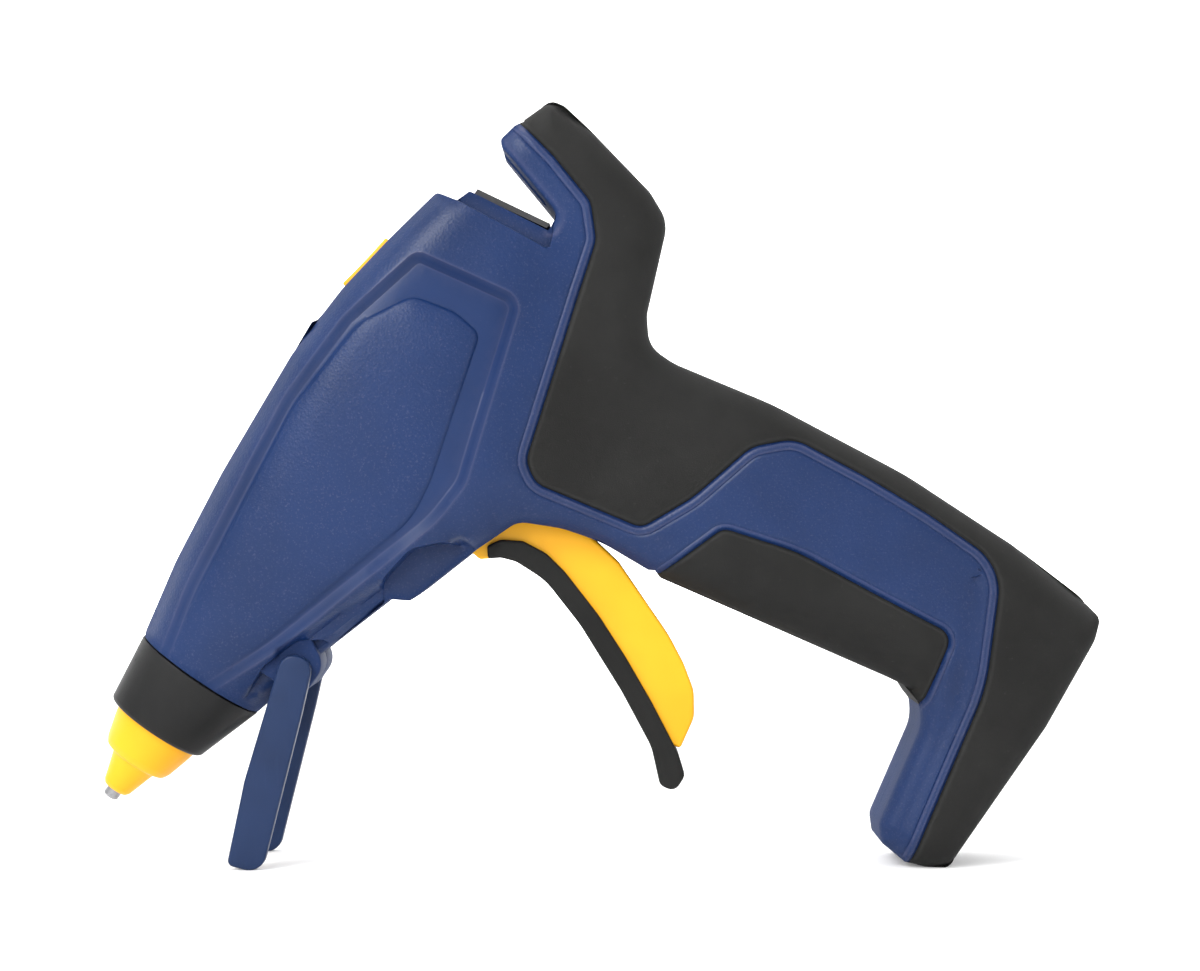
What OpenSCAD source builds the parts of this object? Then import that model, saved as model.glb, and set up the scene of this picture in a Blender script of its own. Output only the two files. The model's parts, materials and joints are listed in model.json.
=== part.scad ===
// Cordless hot-melt glue gun for thin glue sticks, standing on its fold-out stand.
//
// Pieces are drawn in gun axes: x runs back from the nozzle's tip along the barrel, z is up
// from the barrel's axis and y runs to the gun's right. lean() tips the finished pieces over
// to stand on the stand's feet and the handle's toe, with z = 0 on the floor.

/* [Housing] */
// Width of the barrel at its widest
barrel_w = 45; // [42:0.5:54]
// Width of the handle
handle_w = 32; // [31:0.5:40]
// Distance from the barrel's axis down to the handle's base
handle_len = 160; // [158:1:192]
// Wall of the two housing halves
wall = 2.2; // [1.8:0.1:2.7]
// Thickness of the rubber skin on the grips
skin = 2.2; // [1.8:0.1:2.4]
// Lean of the barrel when the gun stands
lean_angle = 55.2; // [52:0.2:58]

/* [Glue path] */
// Diameter of the glue stick
stick_d = 7.2; // [6:0.1:8.7]
// Room around the stick in the guide and the carriage
stick_play = 0.3; // [0.2:0.05:0.5]
// Diameter of the nozzle's orifice
orifice_d = 1.5; // [1:0.1:2]
// Diameter of the check ball
ball_d = 3.2; // [2.8:0.1:3.4]

/* [Trigger and feed] */
// Width of the trigger's lever
trigger_w = 12; // [10:0.5:14.5]
// Width of the rubber pad on the trigger
pad_w = 15; // [12:0.5:17]
// Diameter of the trigger's pin
trigger_pin_d = 4; // [3:0.1:5]
// Diameter of the pin that links the trigger to the carriage
link_pin_d = 3; // [2.5:0.1:3.5]
// Mean diameter of the return spring
spring_d = 12.4; // [12:0.1:14]

/* [Power] */
// Diameter of the battery cell
cell_d = 18.4; // [14:0.1:18.6]
// Length of the battery cell
cell_len = 65; // [50:0.5:66]
// Length of the power button
button_len = 14; // [11:0.5:17]
// Width of the power button
button_w = 9; // [7:0.5:11]

/* [Stand] */
// Width of each leg
leg_w = 8.8; // [7.4:0.1:10]
// Thickness of each leg
leg_t = 3.2; // [2.6:0.1:4]
// Gap between the two legs
leg_gap = 27; // [26.5:0.5:32]
// Diameter of the stand's pin
stand_pin_d = 3; // [2.5:0.1:3.6]

/* [Fasteners] */
// Thread diameter of the housing screws
screw_d = 2.6; // [2.2:0.1:3.1]

/* [Hidden] */
$fn = 40;
round_fn = 24;
eps = 0.02;

// Clearances
run = 0.05;         // a pin in its bore, on the radius
gap = 0.3;          // moving pieces that pass each other
seat = 0.1;         // fixed pieces that sit in a pocket

// The handle's lower points all move down with the base
drop = handle_len - 160;

// Toe that the gun stands on: the flat on it lies on the floor
toe = [91, -155.7 - drop];
toe_flat = 4.1;

// Barrel stations: place, top, bottom and half width
nose_x = 34.3;
keel_x = 72;
wide_x = 104;
rim_x = 151;
half_barrel = barrel_w / 2;
half_handle = handle_w / 2;
hook_half = half_handle - 1.5;

// Glue path
guide_r = stick_d / 2 + stick_play;
melt_r = stick_d / 2 + 0.2;
tube_r = melt_r + 2.2;
spigot_r = melt_r + 1.4;
orifice_r = orifice_d / 2;
ball_r = ball_d / 2;
seat_x = 22;        // wall with the hole that the check ball closes
seat_hole_r = ball_r * 0.7;
ball_x = seat_x - sqrt(pow(ball_r, 2) - pow(seat_hole_r, 2)) - run;
thread_r = 3.4;
tip_bore_r = ball_r + 0.4;
tip_bore_x = 6;
heater_x = [45, 64.5];
heater_z = [-11.8, -8];
heater_half = 3.6;
block_half = 5.4;
sensor_r = 1.2;
sensor_z = tube_r + 1.5;
collar_front_x = 39.2;
collar_rear_x = 66.2;
collar_t = 3;

// Feed carriage, at rest
carriage_x = [95, 113];
carriage_half = guide_r + 5.1;
carriage_z = guide_r + 3.1;
spring_seat_x = [81.5, 83.5];
spring_r = spring_d / 2;
spring_wire_r = 0.5;
link = [103.5, -11];
link_r = link_pin_d / 2;
ear_y = [3.5, 6.3];
jaw_pivot = [107, carriage_z + 0.4];
jaw_pin_r = 1;
jaw_half = 2;

// Trigger, at rest
trigger_pivot = [100.3, -33];
trigger_pin_r = trigger_pin_d / 2;
trigger_half = trigger_w / 2;
pad_half = pad_w / 2;
arm_half = 3;

// Stand, open at rest
stand_pivot = [48, -18.7];
stand_pin_r = stand_pin_d / 2;
stand_open = 20;    // the open legs point this far below the nozzle
foot_r = 4;
lug_r = 4.5;
floor_z = toe[0] * sin(lean_angle) + toe[1] * cos(lean_angle);
leg_drop = stand_pivot[0] * sin(lean_angle) + stand_pivot[1] * cos(lean_angle) - floor_z;
leg_lean = 90 - (lean_angle + stand_open);
foot_side = leg_w / 2 - foot_r;
leg_len = (leg_drop - foot_r - foot_side * sin(leg_lean)) / cos(leg_lean) + foot_r;
bridge = [8, -1.5];

// Battery cell, along the handle
cell_r = cell_d / 2;
cell_top = [132.6, -74.5];
cell_lean = 6.6;

// Power button, on the sloping top of the barrel
button_slope = 8.7;
button_at = [129.7, 19.6];
button_proud = 0.7;
rim_w = 1.2;        // rim that holds the button in from inside
rim_top = -2.8;
switch_floor = guide_r + 3.9;

// Rear of the stick guide and the inlet block
inlet_x = 157.2;
guide_x = [119, 158.4];
channel_half = guide_r + 0.8;

// Screws: place of each, and where its boss meets the middle plane
screws = [[60, 13], [83.5, -23.5], [141, -13.5], [169, -18], [127, -63.5],
          [146.5, -149 - drop], [104, -151 - drop]];
screw_r = screw_d / 2;
screw_head_r = screw_d;
screw_boss_r = screw_r + 1.9;
screw_seat_y = 4;
screw_reach = 8;

// Box centre: the gun reaches from the sleeve's top edge to the base's rear corner
base_corner = [156.6, -155.4 - drop];
front_reach = 2.9 * cos(lean_angle) - 3.3 * sin(lean_angle);
rear_reach = base_corner[0] * cos(lean_angle) - base_corner[1] * sin(lean_angle) + 2.3;
mid_x = (front_reach + rear_reach) / 2;

blue = "#2f3e74";
black = "#2a2a2a";
yellow = "#f7c62b";

// ---------------------------------------------------------------- placing

module lean() {
    translate([-mid_x, 0, -floor_z]) rotate([0, -lean_angle, 0]) children();
}

// Extrudes a side view from y0 to y1
module slab(y0, y1) {
    translate([0, y1, 0]) rotate([90, 0, 0]) linear_extrude(y1 - y0) children();
}

// Extrudes a side view by the same amount to both sides
module both(half) {
    slab(-half, half) children();
}

// Round bar along the barrel
module rod_x(x0, x1, r, z = 0, y = 0) {
    translate([x0, y, z]) rotate([0, 90, 0]) cylinder(h = x1 - x0, r = r);
}

// Cone along the barrel
module cone_x(x0, x1, r0, r1, z = 0) {
    translate([x0, 0, z]) rotate([0, 90, 0]) cylinder(h = x1 - x0, r1 = r0, r2 = r1);
}

// Round bar across the gun
module rod_y(p, y0, y1, r) {
    translate([p[0], y1, p[1]]) rotate([90, 0, 0]) cylinder(h = y1 - y0, r = r);
}

// Block from one corner to the other
module block(low, high) {
    translate(low) cube(high - low);
}

module rounded(r) {
    offset(r = r, $fn = round_fn) offset(delta = -r) children();
}

// Points of a round arc about c, from angle a0 to a1
function arc(c, r, a0, a1, n = 5) =
    [for (i = [0:n]) c + r * [cos(a0 + (a1 - a0) * i / n), sin(a0 + (a1 - a0) * i / n)]];

// Closed tube through rings of points, each ring with the same number of sides
module tube(rings, sides) {
    last = len(rings) - 1;
    walls = [for (i = [0:last - 1]) for (j = [0:sides - 1])
             let (a = i * sides + j, b = i * sides + (j + 1) % sides)
             each [[a, b, b + sides], [a, b + sides, a + sides]]];
    polyhedron([for (ring = rings) each ring],
               concat(walls, [[for (j = [sides - 1:-1:0]) j]],
                      [[for (j = [0:sides - 1]) last * sides + j]]));
}

function unit(v) = v / norm(v);

// Direction of a route at its point i, halfway between the stretches that meet there
function heading(route, i) = unit(
    (i > 0 ? unit(route[i] - route[i - 1]) : [0, 0, 0]) +
    (i < len(route) - 1 ? unit(route[i + 1] - route[i]) : [0, 0, 0]));

// Insulated lead along a route
module lead(route, r, sides = 8) {
    tube([for (i = [0:len(route) - 1])
          let (t = heading(route, i), n = unit(cross(t, [0.2, 1, 0.1])), b = cross(t, n))
          [for (j = [0:sides - 1]) let (a = -360 * j / sides)
           route[i] + r * (cos(a) * n + sin(a) * b)]], sides);
}

// ---------------------------------------------------------------- outer shape

// Rounds of the barrel's cross-section, a flat-sided egg that is narrow underneath
module egg(top, bottom, half) {
    side_r = min(9, half / 2);
    keel_r = min(12, half * 0.7);
    for (side = [-1, 1]) {
        translate([side * (half - side_r - 3), top - side_r]) circle(side_r, $fn = 32);
        translate([side * (half - side_r), (top + bottom) / 2 + 2]) circle(side_r, $fn = 32);
    }
    translate([0, bottom + keel_r]) circle(keel_r, $fn = 32);
}

module station(x, top, bottom, half) {
    translate([x, 0, 0]) rotate([90, 0, 90]) linear_extrude(eps) egg(top, bottom, half);
}

module barrel_front() {
    hull() {
        translate([nose_x, 0, -1.1]) rotate([0, 90, 0]) cylinder(h = eps, r = 15.2, $fn = 48);
        station(52, 17.2, -20.9, 15.2 + (half_barrel - 15.2) * 0.4);
        station(keel_x, 19.2, -25.9, half_barrel - 2.2);
    }
}

module barrel_rear() {
    hull() {
        station(keel_x - 1, 19.1, -25.8, half_barrel - 2.3);
        station(wide_x, 21.9, -39, half_barrel);
        station(121, 21, -36, half_barrel - 0.4);
        station(rim_x - 1, 16, -20, half_barrel - 3);
        station(rim_x, 15.2, -19.5, half_barrel - 3.6);
    }
}

// Side views of the body behind the barrel, each of them convex
mid_side = [[98, -30], [98, -9.4], [161.8, -9.4], [172, -15], [171.1, -30.8], [155.3, -37.2],
            [109.5, -56], [106.3, -48.5], [102.3, -39.4]];
hook_side = [[161.8, -10], [167, 9.4], [168.7, 10.8], [175.5, 8.9], [181.4, 6.8], [182.2, 3.8],
             [181.3, -4.8], [177.8, -22.3], [175.7, -27.5], [171.1, -30.8], [158, -32]];
handle_side = [[109, -54], [113, -40], [149.1, -38], [155, -71], [159.1, -103.6],
               [159.8, -131.7 - drop], [159.2, -146 - drop], [130, -146 - drop],
               [121.3, -134.6 - drop], [120.6, -126 - drop], [109.7, -72]];
foot_side_view = [[119, -136.5 - drop], [92.6, -142.1 - drop], [90, -144.7 - drop],
                  [89.5, -150.1 - drop], toe, toe + toe_flat * [cos(lean_angle), -sin(lean_angle)],
                  [94.6, -160 - drop], [132, -160 - drop], [153.2, -157.6 - drop],
                  [157.8, -154.8 - drop], [159.4, -140 - drop], [150, -128 - drop],
                  [121, -132 - drop]];

module rear_side() {
    polygon(mid_side);
    polygon(hook_side);
    polygon(handle_side);
    polygon(foot_side_view);
}

// A side view thickened to a half width, its rim rounded off in two chamfers
module pillow(half, rim) {
    both(half - rim) children();
    both(half - rim * 0.35) offset(delta = -rim * 0.3) children();
    both(half) offset(delta = -rim) children();
}

module mid_body() {
    hull() {
        intersection() {
            pillow(half_handle + 2.5, 6) polygon(mid_side);
            block([90, -50, -60], [116, 50, 0]);
        }
        pillow(half_handle, 6) polygon(mid_side);
    }
}

module hook_body() {
    hull() pillow(hook_half, 5) rounded(1.2) polygon(hook_side);
}

module handle_body() {
    hull() pillow(half_handle, 7) polygon(handle_side);
}

module foot_body() {
    hull() pillow(half_handle - 0.5, 5) rounded(1) polygon(foot_side_view);
}

module rear_body() {
    mid_body();
    hook_body();
    handle_body();
    foot_body();
}

// Block under the front of the trigger that the folded legs straddle
module rest_block() {
    both(leg_gap / 2 - 0.8)
        polygon([[70, -22], [72, -26.4], [74.5, -30.3], [77.2, -31.4], [90.5, -35.6],
                 [101, -38.6], [101, -22]]);
}

module inlet_block() {
    both(half_handle - 2) polygon([[rim_x - 4, -12], [rim_x - 4, 9.6], [inlet_x - 2.4, 9],
                                   [inlet_x + 0.7, -9.3], [inlet_x + 3, -12]]);
}

module stand_lug() {
    both(leg_gap / 2 - gap) union() {
        translate(stand_pivot) circle(lug_r);
        polygon([stand_pivot + [-lug_r, 0], stand_pivot + [-2, 6], stand_pivot + [9, 6],
                 stand_pivot + [lug_r, -1]]);
    }
}

// ---------------------------------------------------------------- grip regions

// Side view of the rear rubber, its front border against the blue
module rear_region() {
    polygon(concat(
        [[174.6, 14], [171.7, -1.1], [168.5, -12.8]],
        arc([161, -12.5], 6.5, -20, -62, 3),
        [[151, -22.4], [122.8, -31.4]],
        arc([115.6, -37.4], 4.3, 95, 190, 4),
        [[116.1, -61.1], [118.5, -64.2], [127.7, -68], [143.9, -72]],
        arc([142.4, -82.4], 9.6, 65, 5, 4),
        [[153.9, -101.1]],
        arc([140, -124 - drop], 14.5, 0, -60, 5),
        [[130.5, -143.9 - drop], [106.6, -148.7 - drop], [86, -153 - drop],
         [84, -168 - drop], [172, -168 - drop], [192, -60], [192, 16]]));
}

// Side view of the front rubber on the handle
module front_region() {
    polygon(concat(
        [[104, -69.6], [114.6, -73.2]],
        arc([124, -79.6], 3.9, 85, 12, 3),
        [[131.5, -93.5], [133.4, -110.9]],
        arc([131.6, -127.7 - drop], 4, 8, -72, 4),
        [[121.2, -134.2 - drop], [114, -133.6 - drop]]));
}

module rear_slab() { both(40) rear_region(); }
module front_slab() { both(40) front_region(); }

// The blue moulding under the rubber, stepped in to follow the rounded rim
module core(inset) {
    both(half_handle - inset) offset(delta = -inset - 4) rear_side();
    both(half_handle - inset - 4) offset(delta = -inset) rear_side();
}

module hook_channel() {
    block([160, -channel_half, -channel_half], [190, channel_half, 30]);
    rod_x(160, 190, channel_half);
}

// ---------------------------------------------------------------- hollow of the housing

function reverse(list) = [for (i = [len(list) - 1:-1:0]) list[i]];

// Right half of the feed hollow, from above and in cross-section
feed_plan = [[keel_x, half_barrel - 3.4 - wall], [104, half_barrel - 1.2 - wall],
             [122, half_barrel - 1.8 - wall], [150, half_handle - skin - wall],
             [160, half_handle - skin - wall - 1], [172, half_handle - skin - wall - 3]];
feed_section = [[8, 18.6], [half_barrel - 3, 8], [half_barrel - 3, -2], [half_barrel - 9, -12],
                [8, -20.5], [8, -60]];

module cavity() {
    // round hollow around the melt chamber
    cone_x(nose_x + 2.4, keel_x + 1, 14.9 - wall, half_barrel - 3.4 - wall, -1.4);
    // feed hollow
    intersection() {
        slab(-half_barrel, half_barrel)
            polygon([[keel_x, 15.6], [104, 18.6], [122, 17.4], [rim_x - 1 - wall, 12.4],
                     [rim_x - 1 - wall, -5], [161, -12], [169, -13], [168.6, -28.6], [155.5, -33.5],
                     [113, -50], [106, -37], [96, -34], [keel_x, -20]]);
        translate([0, 0, -60]) linear_extrude(90)
            polygon([for (side = [1, -1]) for (p = side > 0 ? feed_plan : reverse(feed_plan))
                     [p[0], side * p[1]]]);
        rotate([90, 0, 90]) linear_extrude(190)
            polygon([for (side = [1, -1]) for (p = side > 0 ? feed_section : reverse(feed_section))
                     [side * p[0], p[1]]]);
    }
    // handle and hump
    both(half_handle - skin - wall) offset(delta = -skin - wall - 3) rear_side();
    both(half_handle - skin - wall - 3.4) offset(delta = -skin - wall) rear_side();
}

// ---------------------------------------------------------------- housing

// Plates across the hollow that carry the inner pieces
module ribs() {
    block([collar_front_x - 2.3, -22, -22], [collar_front_x - seat, 22, 22]);
    block([collar_front_x + collar_t + seat, -22, -22], [collar_front_x + collar_t + 1.6, 22, 22]);
    block([collar_rear_x - 0.7, -24, -30], [collar_rear_x + 0.95, 24, 30]);
    block([collar_rear_x + collar_t + 1.15, -24, -30], [collar_rear_x + collar_t + 2.8, 24, 30]);
    block([spring_seat_x[0], -24, -17], [spring_seat_x[1], 24, 30]);
    block([121.5, -24, -8], [123.5, 24, 30]);
    block([145, -24, -8], [147, 24, 30]);
    // rails that the carriage slides between
    for (side = [0, 1]) mirror([0, 0, side])
        for (turn = [0, 1]) mirror([0, turn, 0])
            block([86, ear_y[1] + 0.7, carriage_z + gap], [116, 24, carriage_z + gap + 1.6]);
    for (turn = [0, 1]) mirror([0, turn, 0])
        block([86, carriage_half + gap, -carriage_z - 1], [116, 24, carriage_z + 1]);
    // seats for the cell
    translate([cell_top[0], 0, cell_top[1]]) rotate([0, -cell_lean, 0])
        for (z = [-12, -cell_len / 2, 12 - cell_len])
            translate([-30, -24, z - 1]) cube([60, 48, 2]);
}

// Space that the ribs leave for what they carry
module rib_room() {
    rod_x(nose_x, 50, 10.5);
    rod_x(50, collar_rear_x + 6, tube_r + 4.8);
    block([50, -block_half - 1, -16], [collar_rear_x + 6, block_half + 1, 0]);
    rod_x(spring_seat_x[0] - 1, spring_seat_x[1] + 1, guide_r + 1);
    rod_x(guide_x[0], inlet_x + 3, guide_r + 1.7 + seat);
    block([guide_x[0], -8, guide_r], [144, 8, 30]);
    translate([cell_top[0], 0, cell_top[1]]) rotate([0, -cell_lean, 0])
        translate([0, 0, -cell_len - 4]) cylinder(h = cell_len + 8, r = cell_r + seat);
    // ways for the leads
    for (side = [-1, 1])
        block([78, side * 10.4 - 1.2, -13], [90, side * 10.4 + 1.2, -10.4]);
    block([78, 8.2, 8.2], [85, 12, 11.6]);
    block([120, 10.4, -12], [125, 15, 14]);
    block([collar_rear_x - 2, -12, -20], [collar_rear_x + 6, 12, -6]);
    block([collar_rear_x - 2, -4, 5], [collar_rear_x + 6, 4, 14]);
}

// Posts on the middle plane: screws, trigger pin and boards
module posts() {
    for (p = screws) rod_y(p, -half_barrel + 5, half_barrel - 5, screw_boss_r);
    rod_y(trigger_pivot, -half_handle + 1, half_handle - 1, trigger_pin_r + 2.2);
}

// Room that the swinging trigger needs between the halves
module trigger_room() {
    both(trigger_half + gap)
        polygon([[88.5, -28], [91, -22], [98, -7.5], [110, -7.5], [112, -24], [119.5, -34],
                 [120, -62], [118.5, -78], [115.5, -89], [108, -92], [86, -60]]);
    both(pad_half + gap)
        polygon([[87.6, -45], [87.6, -34.2], [90, -30.2], [107.2, -30.2], [112.3, -44], [112.3, -60],
                 [100, -75]]);
}

module button_frame() {
    translate([button_at[0], 0, button_at[1]]) rotate([0, button_slope, 0]) children();
}

// Side-panel recess: an elongated hexagon, deepest at its rear
panel_side = [[33, 7], [51.7, 11.6], [95.1, 17], [116.7, 17], [138.6, 11.8], [143.6, -9],
              [142.2, -13.4], [103.2, -23.6], [95.9, -23.9], [55.8, -11.6], [33, -5]];
panel_depth = 1;

// Half width of the barrel's flank along its length
flank = [[36, 15.6], [52, 15.2 + (half_barrel - 15.2) * 0.4], [keel_x, half_barrel - 2.2],
         [wide_x, half_barrel], [121, half_barrel - 0.4], [rim_x, half_barrel - 3.2]];

module panel_cut(side) {
    scale([1, side, 1]) intersection() {
        slab(5, 50) rounded(2.5) polygon(panel_side);
        translate([0, 0, -60]) linear_extrude(120)
            polygon(concat([for (p = flank) p - [0, panel_depth]], [[rim_x, 50], [36, 50]]));
    }
}

module scoop(side) {
    rod_y([80.5, -32.5], min(side * (leg_gap / 2 - 0.8), side * 40),
          max(side * (leg_gap / 2 - 0.8), side * 40), 9.8);
}

module leg_notch(side) {
    scale([1, side, 1]) slab(leg_gap / 2 - gap - 0.3, 40)
        polygon([[33, -40], [39.5, -16.4], [46, -12.2], [56, -14.8], [60, -20], [62, -40]]);
}

module housing_half(side) {
    difference() {
        union() {
            difference() {
                intersection() {
                    union() {
                        difference() {
                            union() {
                                barrel_front();
                                barrel_rear();
                                rear_body();
                                rest_block();
                            }
                            rear_slab();
                            front_slab();
                        }
                        core(skin);
                        inlet_block();
                        stand_lug();
                    }
                    block([0, min(0, side * 50), -200 - drop], [200, max(0, side * 50), 40]);
                }
                cavity();
            }
            intersection() {
                difference() {
                    union() {
                        ribs();
                        posts();
                    }
                    rib_room();
                }
                cavity();
                block([0, min(0, side * 50), -200 - drop], [200, max(0, side * 50), 40]);
            }
        }
        // nose opening, with a groove for the nose ring's flange
        rod_x(nose_x - 1, nose_x + 3, 12.1 + seat, -0.6);
        trigger_room();
        hook_channel();
        rod_x(rim_x - 4, inlet_x + 8, guide_r + 1.7 + seat);
        panel_cut(side);
        scoop(side);
        leg_notch(side);
        rod_y(stand_pivot, -20, 20, stand_pin_r + run);
        rod_y(trigger_pivot, -half_handle + 3.4, half_handle - 3.4, trigger_pin_r + run);
        button_frame() {
            block([-button_len / 2 - gap, -button_w / 2 - gap, -8],
                  [button_len / 2 + gap, button_w / 2 + gap, 6]);
            block([-button_len / 2 - rim_w - gap, -button_w / 2 - rim_w - gap, -8],
                  [button_len / 2 + rim_w + gap, button_w / 2 + rim_w + gap, rim_top + seat]);
        }
        charge_room();
        for (p = screws) {
            rod_y(p, -screw_reach - 0.5, 1, screw_r + run);
            rod_y(p, -1, screw_seat_y + 1, screw_r + 0.2);
            rod_y(p, screw_seat_y, 40, screw_head_r + 0.3);
        }
    }
}

module housing_left() {
    color(blue) lean() housing_half(-1);
}

module housing_right() {
    color(blue) lean() housing_half(1);
}

// ---------------------------------------------------------------- grips

module grip_rear(side) {
    difference() {
        intersection() {
            rear_body();
            block([80, min(0, side * 50), -200 - drop], [200, max(0, side * 50), 40]);
            both(40) offset(delta = -0.25) rear_region();
        }
        core(skin);
        hook_channel();
        charge_room();
        for (p = screws) rod_y(p, screw_seat_y, 40, screw_head_r + 0.3);
    }
}

module grip_front(side) {
    difference() {
        intersection() {
            rear_body();
            block([80, min(0, side * 50), -200 - drop], [200, max(0, side * 50), 40]);
            both(40) offset(delta = -0.25) front_region();
        }
        core(skin);
        trigger_room();
    }
}

module grip_rear_left() { color(black) lean() grip_rear(-1); }
module grip_rear_right() { color(black) lean() grip_rear(1); }
module grip_front_left() { color(black) lean() grip_front(-1); }
module grip_front_right() { color(black) lean() grip_front(1); }

// ---------------------------------------------------------------- nozzle

module nose_ring() {
    color(black) lean() difference() {
        union() {
            hull() {
                translate([18.6, 0, 0.4]) rotate([0, 90, 0]) cylinder(h = eps, r = 11, $fn = 64);
                translate([20, 0, 0.35]) rotate([0, 90, 0]) cylinder(h = eps, r = 11.9, $fn = 64);
                translate([nose_x - 0.4, 0, -1.1]) rotate([0, 90, 0])
                    cylinder(h = eps, r = 15.3, $fn = 64);
            }
            rod_x(nose_x - 2, nose_x + 2.2, 12.1, -0.6);
        }
        rod_x(10, nose_x - 8, 10.4 + seat);
        rod_x(nose_x - 9, nose_x + 5, 10.8);
    }
}

module nozzle_sleeve() {
    color(yellow) lean() difference() {
        rotate([0, 90, 0]) rotate_extrude($fn = 64) rotate(90)
            polygon(concat([[2.1, 0]], [[2.1, 2.3], [2.8, 3.1], [8.4, 4.9], [9.4, 5.4]],
                           [[9.9, 7.2], [11, 8], [18.5, 10.1], [24.5, 10.4], [24.5, 0]]));
        rod_x(0, 8, 2.2);
        cone_x(4, 7.1, 2.2, 3.7);
        rod_x(7, 13, 3.7);
        rod_x(12.3, 30, tube_r + run);
    }
}

module nozzle_tip() {
    color("#c9c9cc") lean() difference() {
        union() {
            rod_x(0, 5, 1.75);
            cone_x(4, 7.2, 1.75, 3.3);
            rod_x(7.2, 12.2, 3.6);
            rod_x(12, seat_x, thread_r);
        }
        rod_x(-1, 8, orifice_r);
        rod_x(tip_bore_x, seat_x + 1, tip_bore_r);
    }
}

module check_ball() {
    color("#b8bcc0") lean() translate([ball_x, 0, 0]) sphere(r = ball_r);
}

// Open coil along the barrel, of round wire
module coil(x0, x1, r, wire_r, turns, steps = 14, sides = 8) {
    n = turns * steps;
    tube([for (i = [0:n]) let (a = 360 * i / steps, x = x0 + (x1 - x0) * i / n)
          [for (j = [0:sides - 1]) let (b = 360 * j / sides, q = r + wire_r * cos(b))
           [x + wire_r * sin(b), q * cos(a), q * sin(a)]]], sides);
}

module valve_spring() {
    color("silver") lean()
        coil(tip_bore_x + 0.35, ball_x - ball_r - 0.35, ball_r - 0.35, 0.2, 7, 12, 6);
}

// ---------------------------------------------------------------- melt chamber

module melt_chamber() {
    color("#b4b6b8") lean() difference() {
        union() {
            rod_x(12.5, collar_rear_x + 1, tube_r);
            rod_x(collar_rear_x, collar_rear_x + 8, spigot_r);
            block([heater_x[0], -block_half, heater_z[0] - 1.4],
                  [heater_x[1], block_half, 0]);
            block([heater_x[0] + 8, -2.6, 0], [heater_x[1], 2.6, sensor_z + 2]);
        }
        rod_x(12, seat_x, thread_r + run / 2);
        rod_x(seat_x - 1, seat_x + 2, seat_hole_r);
        rod_x(seat_x + 1.5, collar_rear_x + 9, melt_r);
        block([heater_x[0] + 1, -heater_half - seat, heater_z[0] - seat],
              [heater_x[1] + 1, heater_half + seat, heater_z[1] + seat]);
        rod_x(heater_x[0] + 10, heater_x[1] + 1, sensor_r + seat, sensor_z);
    }
}

module heater_element() {
    color("#e9e2d0") lean()
        block([heater_x[0] + 1.5, -heater_half, heater_z[0]],
              [heater_x[1] - 0.5, heater_half, heater_z[1]]);
}

module thermal_sensor() {
    color("#7a2f1d") lean() rod_x(heater_x[0] + 10.5, heater_x[1] - 1, sensor_r, sensor_z);
}

module collar(x, outer, inner) {
    difference() {
        rod_x(x, x + collar_t, outer);
        rod_x(x - 1, x + collar_t + 1, inner);
    }
}

module chamber_mount_front() {
    color("#8c8473") lean() collar(collar_front_x, 11.6, tube_r + run);
}

module chamber_mount_rear() {
    color("#8c8473") lean() difference() {
        collar(collar_rear_x + 1.05, 13, spigot_r + run);
        // notch for the leads underneath
        block([collar_rear_x, -7.4, -14], [collar_rear_x + 6, 7.4, -8.8]);
        rod_x(collar_rear_x, collar_rear_x + 6, lead_r + 0.5, sensor_z + 1.2);
    }
}

module inlet_sleeve() {
    color("#c8552b") lean() difference() {
        rod_x(collar_rear_x + collar_t + 1.3, spring_seat_x[0] - gap, spigot_r + 1.8);
        rod_x(60, collar_rear_x + 8.4, spigot_r + run);
        rod_x(60, 90, guide_r);
    }
}

module sleeve_clamp() {
    color("silver") lean() difference() {
        rod_x(collar_rear_x + collar_t + 2.9, collar_rear_x + collar_t + 4.3, spigot_r + 2.8);
        rod_x(60, 80, spigot_r + 1.8 + run);
    }
}

// ---------------------------------------------------------------- feed

module return_spring() {
    color("silver") lean()
        coil(spring_seat_x[1] + spring_wire_r + seat, carriage_x[0] - spring_wire_r - seat,
             spring_r, spring_wire_r, 4);
}

module feed_carriage() {
    color("#3a3a3c") lean() difference() {
        union() {
            block([carriage_x[0], -carriage_half, -carriage_z],
                  [carriage_x[1], carriage_half, carriage_z]);
            for (side = [0, 1]) mirror([0, side, 0])
                block([link[0] - 4, ear_y[0], link[1] - 3.4],
                      [link[0] + 4, ear_y[1], -carriage_z + 1]);
            block([jaw_pivot[0] - 3, -5, carriage_z - 1], [jaw_pivot[0] + 3, 5, jaw_pivot[1] + 2.2]);
        }
        rod_x(carriage_x[0] - 1, carriage_x[1] + 1, guide_r);
        rod_y(link, -10, 10, link_r + run / 5);
        rod_y(jaw_pivot, -10, 10, jaw_pin_r + run / 5);
        // slot for the jaw
        block([carriage_x[0] + 3, -jaw_half - gap, 1], [carriage_x[1] - 2, jaw_half + gap, 20]);
        // slot for the trigger's arm
        block([carriage_x[0] - 1, -ear_y[0], -20], [carriage_x[1] + 1, ear_y[0], -carriage_z - eps]);
    }
}

module link_pin() {
    color("silver") lean() rod_y(link, -ear_y[1], ear_y[1], link_r);
}

module grip_jaw() {
    color("#9a9ca0") lean() difference() {
        both(jaw_half) polygon(concat(
            arc(jaw_pivot, 1.9, 100, -75, 8),
            [for (i = [0:2]) for (k = [0, 1])
                [jaw_pivot[0] - 1.6 - 2.2 * i - 1.4 * k, guide_r + 0.35 + 0.8 * k]],
            [[carriage_x[0] + 4, jaw_pivot[1] - 1], [jaw_pivot[0] - 4, jaw_pivot[1] + 1.2]]));
        rod_y(jaw_pivot, -10, 10, jaw_pin_r + run);
    }
}

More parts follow.
